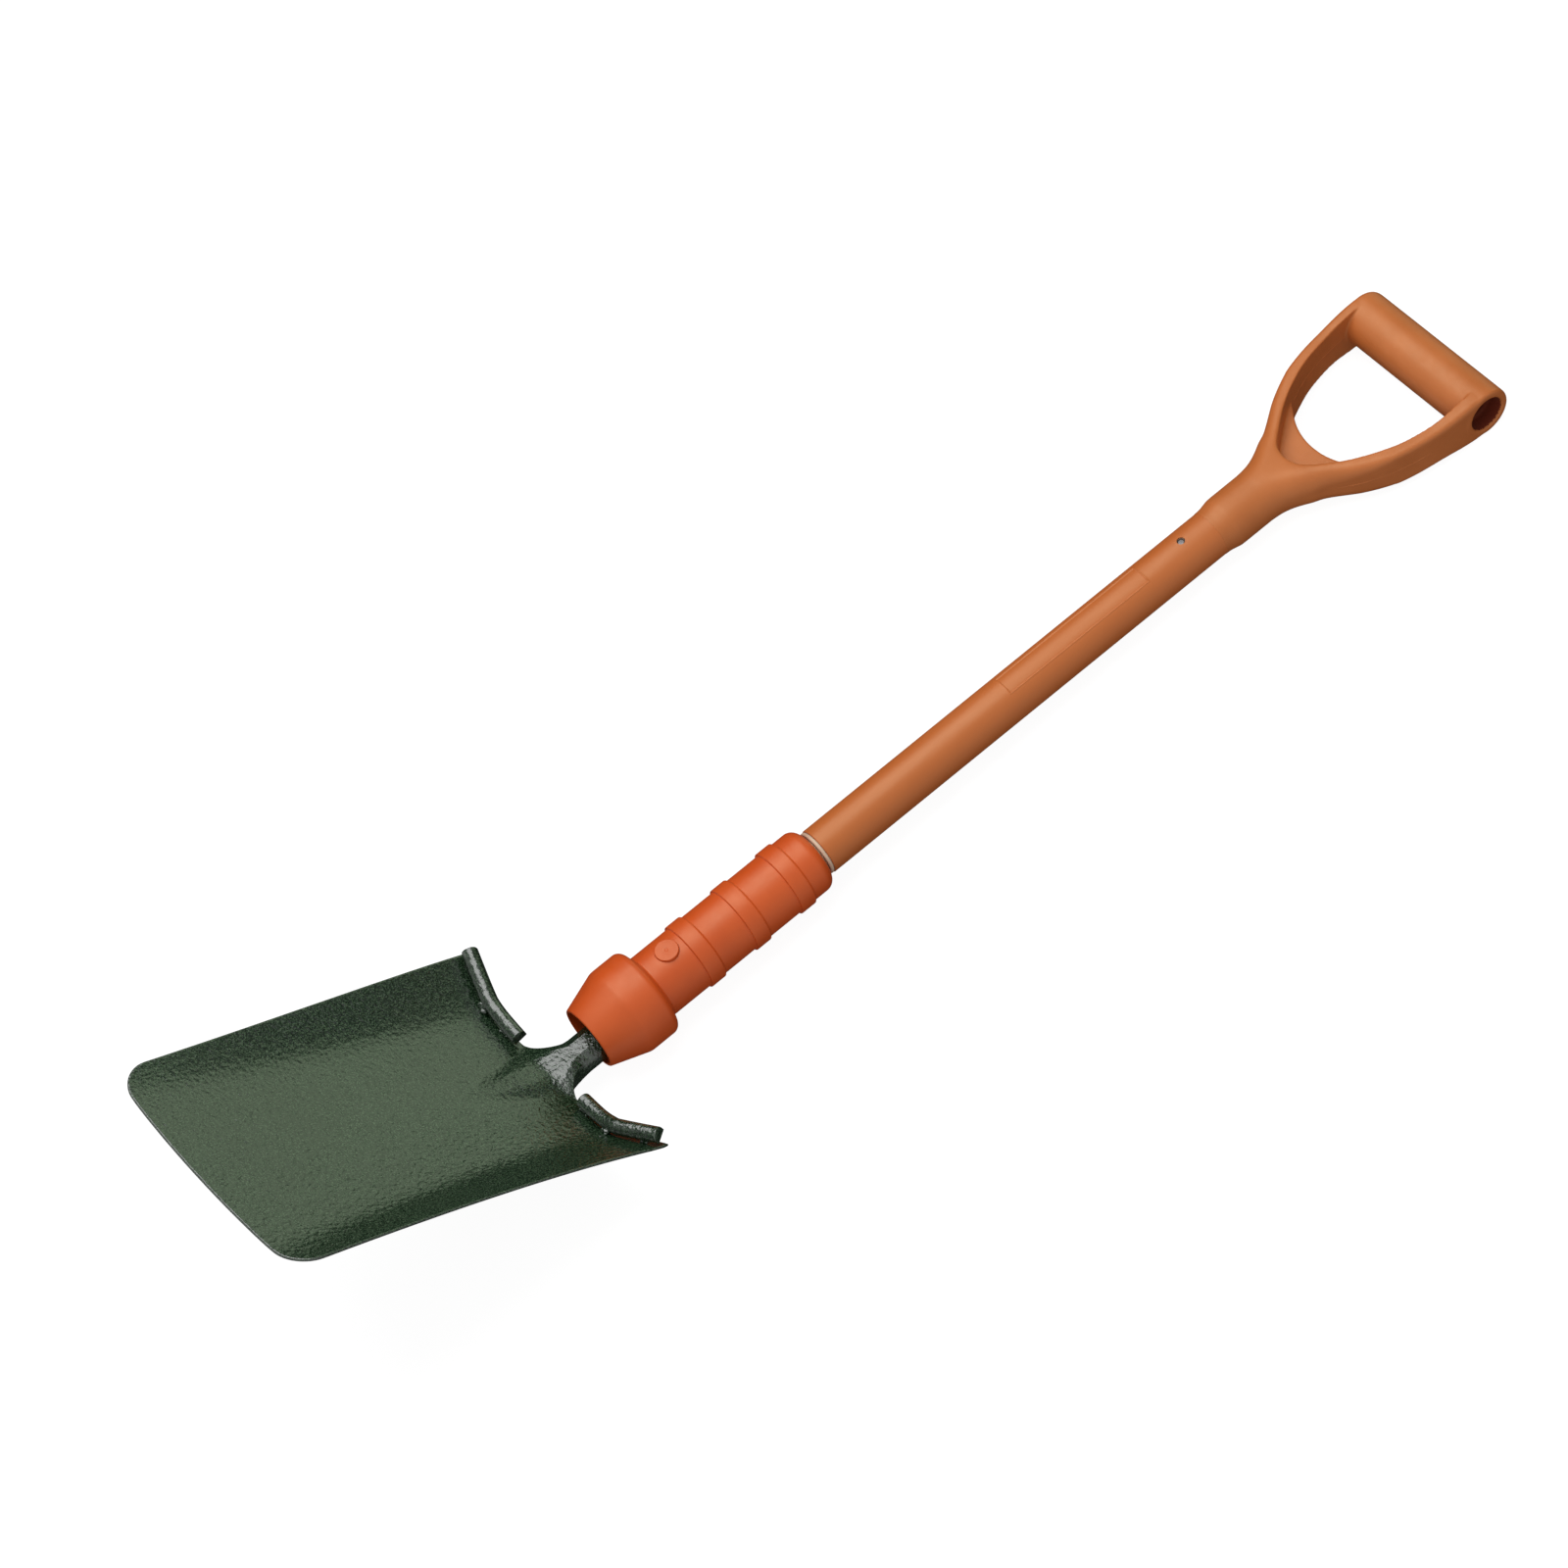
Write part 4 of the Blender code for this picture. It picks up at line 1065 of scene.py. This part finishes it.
def make_pin():
    """The handle's solid pin, sunk a little below the sheath."""
    outline = disc_profile(PIN_R, PIN_HALF_LENGTH, -PIN_HALF_LENGTH)
    profile = rounded(outline, [0.0, 0.0009, 0.0009, 0.0], 6)
    pin = turned("cross_pin", profile, closed=False, sides=48, axis="Z", x=PIN_X)
    return finished(pin, ["handle_pin"], STEEL, 40)


# ---- D handle


def arm_half_depth(x):
    """The arms deepen towards the grip until their faces run into it."""
    return ARM_HALF_DEPTH + (GRIP_R - ARM_HALF_DEPTH) * smoothstep(x, 0.5320, 0.5720)


def arms_mesh():
    """The two arms and the web between them, up to where the throat's flare takes over."""
    start_x = 0.4960
    outer = [point for point in smooth_line(ARM_OUTER) if point[0] > start_x]
    outline = mirrored([(start_x, 0.0)] + outer)
    arms = outline_solid("d_grip", outline, -ARM_HALF_DEPTH, ARM_HALF_DEPTH, ARM_ROUND)
    modified(arms, "REMESH", mode="VOXEL", voxel_size=0.0012)
    arms = baked(arms)
    flush = GRIP_OPEN_END + ARM_OUTER[-1][1]
    for vertex in arms.data.vertices:
        point = vertex.co
        point.z *= arm_half_depth(point.x) / ARM_HALF_DEPTH
        if point.y < 0.0:
            share = smoothstep(-point.y, 0.0560, 0.0640) * smoothstep(point.x, 0.5200, 0.5740)
            point.y += flush * share
    return arms


def throat_mesh():
    shape = smooth_line(THROAT, 4)
    steps = 14
    rings = []
    for x, half_y, half_z, roundness in shape:
        radius = min(half_z * roundness, half_y, half_z)
        ring = []
        for corner in range(4):
            side_y = (1, -1, -1, 1)[corner]
            side_z = (1, 1, -1, -1)[corner]
            for k in range(steps + 1):
                turn = math.pi / 2 * (corner + k / steps)
                y = side_y * (half_y - radius) + radius * math.cos(turn)
                z = side_z * (half_z - radius) + radius * math.sin(turn)
                ring.append((x, y, z))
        rings.append(ring)
    return tube("throat", rings)


def collar_mesh():
    """The collar and the spigot behind it, still solid where the sheath will slide in."""
    outline = [
        (0.0, COLLAR_END_X),
        (COLLAR_R, COLLAR_END_X),
        (COLLAR_R, 0.3905),
        (COLLAR_R - 0.0001, 0.3860),
        (COLLAR_R - 0.0008, 0.3825),
        (COLLAR_R - 0.0016, 0.3790),
        (COLLAR_R - 0.0020, 0.3760),
        (COLLAR_R - 0.0021, COLLAR_START_X),
        (SPIGOT_R, COLLAR_START_X),
        (SPIGOT_R, SPIGOT_START_X),
        (0.0, SPIGOT_START_X),
    ]
    return turned("collar", outline, closed=False, sides=128)


def grip_mesh():
    outline = disc_profile(GRIP_R, GRIP_CLOSED_END, GRIP_OPEN_END)
    profile = rounded(outline, [0.0, 0.0066, 0.0030, 0.0], 10)
    return turned("grip", profile, closed=False, sides=128, axis="Y", x=GRIP_X)


def grip_bore_mesh():
    mouth = GRIP_OPEN_END
    outline = [
        (0.0, mouth + GRIP_BORE_DEPTH),
        (GRIP_BORE_STEP_R, mouth + GRIP_BORE_DEPTH),
        (GRIP_BORE_STEP_R, mouth + GRIP_BORE_STEP),
        (GRIP_BORE_R, mouth + GRIP_BORE_STEP - 0.0008),
        (GRIP_BORE_R, mouth + 0.0008),
        (GRIP_BORE_R + 0.0007, mouth),
        (GRIP_BORE_R + 0.0007, mouth - 0.0100),
        (0.0, mouth - 0.0100),
    ]
    return turned("bore", outline, closed=False, sides=96, axis="Y", x=GRIP_X)


def soften(piece, factor, iterations, weight_at=None):
    """Smooths a mesh, everywhere or by a weight that depends on where a point lies."""
    modified(piece, "SMOOTH", factor=factor, iterations=iterations)
    if weight_at is not None:
        group = piece.vertex_groups.new(name="softening")
        for vertex in piece.data.vertices:
            weight = weight_at(vertex.co)
            if weight > 0.0:
                group.add([vertex.index], weight, "REPLACE")
        piece.modifiers[0].vertex_group = "softening"
    return baked(piece)


def throat_softening(point):
    """Full in the flare, fading into the collar, the pocket and the arms."""
    share = smoothstep(point.x, 0.4100, 0.4260) * (1.0 - smoothstep(point.x, 0.4560, 0.4900))
    inner = smoothstep(abs(point.z), 0.0060, 0.0110)
    return share * inner


def thin_collar(handle):
    """Draws the collar's lip in to a thin edge around the shaft."""
    lip_end = 0.3800
    for vertex in handle.data.vertices:
        point = vertex.co
        reach = math.hypot(point.y, point.z)
        if point.x < lip_end and reach > 0.0150:
            limit = COLLAR_BORE_R + 0.00006 + 0.0010 * smoothstep(point.x, 0.3712, lip_end)
            if reach > limit:
                point.y *= limit / reach
                point.z *= limit / reach


def in_grip_bore(point):
    """Whether a point is on the wall or floor of the grip's open end, where the darker polymer
    copy paints shade.
    """
    low = GRIP_OPEN_END + 0.0012
    high = GRIP_OPEN_END + GRIP_BORE_DEPTH + 0.001
    reach = math.hypot(point.x - GRIP_X, point.z)
    return reach < GRIP_BORE_R + 0.0001 and low < point.y < high


def make_handle():
    inner = smooth_line(ARM_INNER)
    handle = arms_mesh()
    handle = boolean(handle, throat_mesh(), "UNION")
    handle = boolean(handle, collar_mesh(), "UNION")
    handle = boolean(handle, grip_mesh(), "UNION")
    for low, high in ((WEB_HALF_THICKNESS, CUT_REACH), (-CUT_REACH, -WEB_HALF_THICKNESS)):
        pocket = outline_solid("pocket", mirrored(inner), low, high)
        handle = boolean(handle, keep_off_grip(pocket))
    centre = WEB_EDGE_X + WEB_EDGE_R
    web_edge = []
    for i in range(17):
        angle = math.radians(180.0 - 38.0 * i / 16)
        web_edge.append((centre + WEB_EDGE_R * math.cos(angle), WEB_EDGE_R * math.sin(angle)))
    web_edge[0] = (WEB_EDGE_X, 0.0)
    opening = web_edge + [point for point in inner if point[0] > 0.4880]
    tool = outline_solid("opening", mirrored(opening), -CUT_REACH, CUT_REACH)
    handle = boolean(handle, keep_off_grip(tool))
    handle = boolean(handle, grip_bore_mesh())
    voxel = 0.0008
    modified(handle, "REMESH", mode="VOXEL", voxel_size=voxel)
    handle = baked(handle)
    handle = soften(handle, 0.5, 60, throat_softening)
    handle = soften(handle, 0.5, 8)
    handle.name = "d_grip"
    thin_collar(handle)
    socket = [
        (COLLAR_BORE_R, COLLAR_FLOOR_X),
        (COLLAR_BORE_R, 0.3650),
        (SPIGOT_R, 0.3650),
        (SPIGOT_R, COLLAR_FLOOR_X),
    ]
    handle = boolean(handle, turned("collar_bore", socket, sides=128))
    handle = drilled(handle, "spigot_hole", PIN_HOLE_R, PIN_X, 32)
    # Faces inside the grip's bore take the darker copy of the polymer, as painted shade.
    in_bore = [in_grip_bore(face.center) for face in handle.data.polygons]
    handle = finished(handle, ["d_handle"], HANDLE_ORANGE, 180)
    handle.data.materials.append(BORE_PAINTED_SHADE)
    for face, inside in zip(handle.data.polygons, in_bore):
        face.material_index = 1 if inside else 0
    return handle


def keep_off_grip(tool):
    """A cutter for the hand opening, stopped short by the grip's round side."""
    profile = disc_profile(GRIP_R, 0.0900, -0.0900)
    guard = turned("guard", profile, closed=False, sides=128, axis="Y", x=GRIP_X)
    return boolean(tool, guard)


def parting_line(name, points, side, inset):
    """The fine raised line where the handle's mould halves met, along an arm's side."""
    path = [(x, side * (y - inset)) for x, y in points]
    edge = {"bevel_depth": 0.00028, "bevel_resolution": 3, "use_fill_caps": True}
    line = baked(outline_curve(name, path, False, {"dimensions": "3D", **edge}))
    tidy_normals(line)
    return finished(line, [], HANDLE_ORANGE, 60)


# ---- build

SIDES = (("left", 1.0), ("right", -1.0))
# The blobs of weld metal that make_bead places.
INNER_TACK = (
    (0.0014, 0.0000, 0.0012, (0.0015, 0.0017, 0.0014)),
    (0.0006, 0.0030, 0.0010, (0.0012, 0.0026, 0.0011)),
    (0.0016, 0.0066, 0.0006, (0.0012, 0.0014, 0.0010)),
)
OUTER_TACK = (
    (0.0008, 0.0000, 0.0010, (0.0012, 0.0026, 0.0013)),
    (0.0010, -0.0034, 0.0008, (0.0012, 0.0016, 0.0010)),
)
LEFT_BEND = (
    (0.0016, 0.0000, 0.0034, (0.0036, 0.0038, 0.0036)),
    (0.0034, -0.0018, 0.0014, (0.0030, 0.0030, 0.0024)),
    (0.0030, 0.0028, 0.0018, (0.0026, 0.0030, 0.0026)),
    (-0.0022, 0.0010, 0.0072, (0.0034, 0.0034, 0.0024)),
    (-0.0034, 0.0052, 0.0080, (0.0022, 0.0030, 0.0016)),
)
RIGHT_BEND = (
    (0.0004, 0.0000, 0.0050, (0.0028, 0.0028, 0.0044)),
    (-0.0030, -0.0006, 0.0086, (0.0036, 0.0024, 0.0018)),
    (0.0028, 0.0010, 0.0020, (0.0030, 0.0028, 0.0024)),
    (0.0072, 0.0024, 0.0004, (0.0040, 0.0013, 0.0008)),
    (0.0024, -0.0028, 0.0012, (0.0020, 0.0020, 0.0016)),
)

make_head()
for side_label, side_sign in SIDES:
    make_tread(side_label, side_sign)
make_bead("bend", "left", 1.0, 0.0700, LEFT_BEND, 1.3)
make_bead("bend", "right", -1.0, 0.0715, RIGHT_BEND, 4.1)
for (side_label, side_sign), tack_seed in zip(SIDES, (7.7, 9.2)):
    make_bead("inner", side_label, side_sign, 0.0420, INNER_TACK, tack_seed)
    make_bead("outer", side_label, side_sign, 0.1010, OUTER_TACK, tack_seed + 2.0)
make_boot()
make_plug()
make_sheath()
make_ring()
make_pin()
make_handle()
OUTER_PARTING = [p for p in smooth_line(ARM_OUTER) if 0.4600 < p[0] < 0.5600]
INNER_PARTING = [p for p in smooth_line(ARM_INNER) if 0.4900 < p[0] < 0.5600]
for side_label, side_sign in SIDES:
    parting_line("parting_line_outer_" + side_label, OUTER_PARTING, side_sign, 0.00012)
    parting_line("parting_line_inner_" + side_label, INNER_PARTING, side_sign, -0.00012)

CARRIED = {
    "shaft_core": FIBRE,
    "foam_core": FOAM,
    "socket_rivet_lower": STEEL,
    "socket_rivet_upper": STEEL,
}
for node_name, node_look in CARRIED.items():
    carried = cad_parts[node_name]
    for slot_index in range(len(carried.material_slots)):
        carried.material_slots[slot_index].material = node_look

# ---- floor, light and camera

LIT_POINT = (0.0, 0.0, 0.05)
COVE_GLOW = 0.93
WALL_LEVEL = 0.025
# Directions, the angles where each glow is full and gone, and its colour.
WALL_GLOWS = (
    ((0.895, 0.430, 0.115), 16.0, 26.0, (0.60, 0.74, 0.52)),
    ((-0.25, -0.62, 0.45), 40.0, 100.0, (0.62, 0.62, 0.62)),
    ((-0.84, 0.53, 0.0), 10.0, 40.0, (0.80, 0.80, 0.80)),
)

def make_cove():
    """A wide pale floor that curves up into a wall far outside, with no corner in sight."""
    look, tree, shader = new_material("studio_cove", (0.16, 0.16, 0.16), 0.9, specular=0.0)
    set_inputs(shader, Emission_Color=(1.0, 1.0, 1.0, 1.0), Emission_Strength=COVE_GLOW)
    grain = noise_node(tree, 60.0, 3.0, 0.5)
    bump_chain(tree, shader, [(grain.outputs["Fac"], 0.02, 0.0005)])
    profile = [(0.0, 0.0), (2.0, 0.0), (9.0, 0.0)]
    for i in range(1, 17):
        turn = math.pi / 2 * i / 16
        profile.append((9.0 + 5.0 * math.sin(turn), 5.0 - 5.0 * math.cos(turn)))
    profile.append((14.0, 14.0))
    cove = turned("studio_cove", profile, closed=False, sides=96, axis="Z")
    cove.data.materials.append(look)
    cove.data.shade_smooth()
    for ray in ("diffuse", "glossy", "transmission", "shadow"):
        setattr(cove, "visible_" + ray, False)


def area_light(name, direction, distance, size, radiance):
    """A soft panel seen from the shovel in the given direction, with the given brightness."""
    data = bpy.data.lights.new(name, "AREA")
    data.shape = "RECTANGLE"
    data.size, data.size_y = size
    data.energy = radiance * math.pi * size[0] * size[1]
    light = bpy.data.objects.new(name, data)
    toward = Vector(direction).normalized()
    light.location = Vector(LIT_POINT) + toward * distance
    light.rotation_euler = toward.to_track_quat("Z", "Y").to_euler()
    light.visible_camera = False
    bpy.context.scene.collection.objects.link(light)


def make_world():
    """Dim studio walls, brighter in a few broad directions."""
    world = bpy.data.worlds.new("studio")
    world.use_nodes = True
    tree = world.node_tree
    background = tree.nodes["Background"]
    coords = tree.nodes.new("ShaderNodeTexCoord")
    total = tree.nodes.new("ShaderNodeCombineXYZ").outputs["Vector"]
    for channel in "XYZ":
        total.node.inputs[channel].default_value = WALL_LEVEL
    for direction, inner, outer, colour in WALL_GLOWS:
        toward = Vector(direction).normalized()
        dot = tree.nodes.new("ShaderNodeVectorMath")
        dot.operation = "DOT_PRODUCT"
        dot.inputs[1].default_value = toward
        tree.links.new(coords.outputs["Generated"], dot.inputs[0])
        low, high = math.cos(math.radians(outer)), math.cos(math.radians(inner))
        step = add_node(tree, "ShaderNodeMapRange", From_Min=low, From_Max=high)
        step.interpolation_type = "SMOOTHSTEP"
        tree.links.new(dot.outputs["Value"], step.inputs["Value"])
        glow = tree.nodes.new("ShaderNodeVectorMath")
        glow.operation = "MULTIPLY_ADD"
        glow.inputs[0].default_value = colour
        tree.links.new(step.outputs["Result"], glow.inputs[1])
        tree.links.new(total, glow.inputs[2])
        total = glow.outputs["Vector"]
    tree.links.new(total, background.inputs["Color"])
    background.inputs["Strength"].default_value = 1.0
    bpy.context.scene.world = world


def make_camera():
    data = bpy.data.cameras.new("camera")
    data.sensor_width = 36.0
    data.lens = 131.48
    data.clip_start = 0.1
    data.clip_end = 30.0
    camera = bpy.data.objects.new("camera", data)
    camera.location = (-0.85667, -2.08407, 3.36445)
    camera.rotation_euler = [math.radians(angle) for angle in (32.5988, 12.2711, -39.3786)]
    bpy.context.scene.collection.objects.link(camera)
    bpy.context.scene.camera = camera


make_cove()
make_world()
area_light("key_softbox", (0.06, 0.33, 0.94), 2.2, (2.3, 2.3), 2.8)
make_camera()
bpy.context.scene.view_settings.view_transform = "Standard"
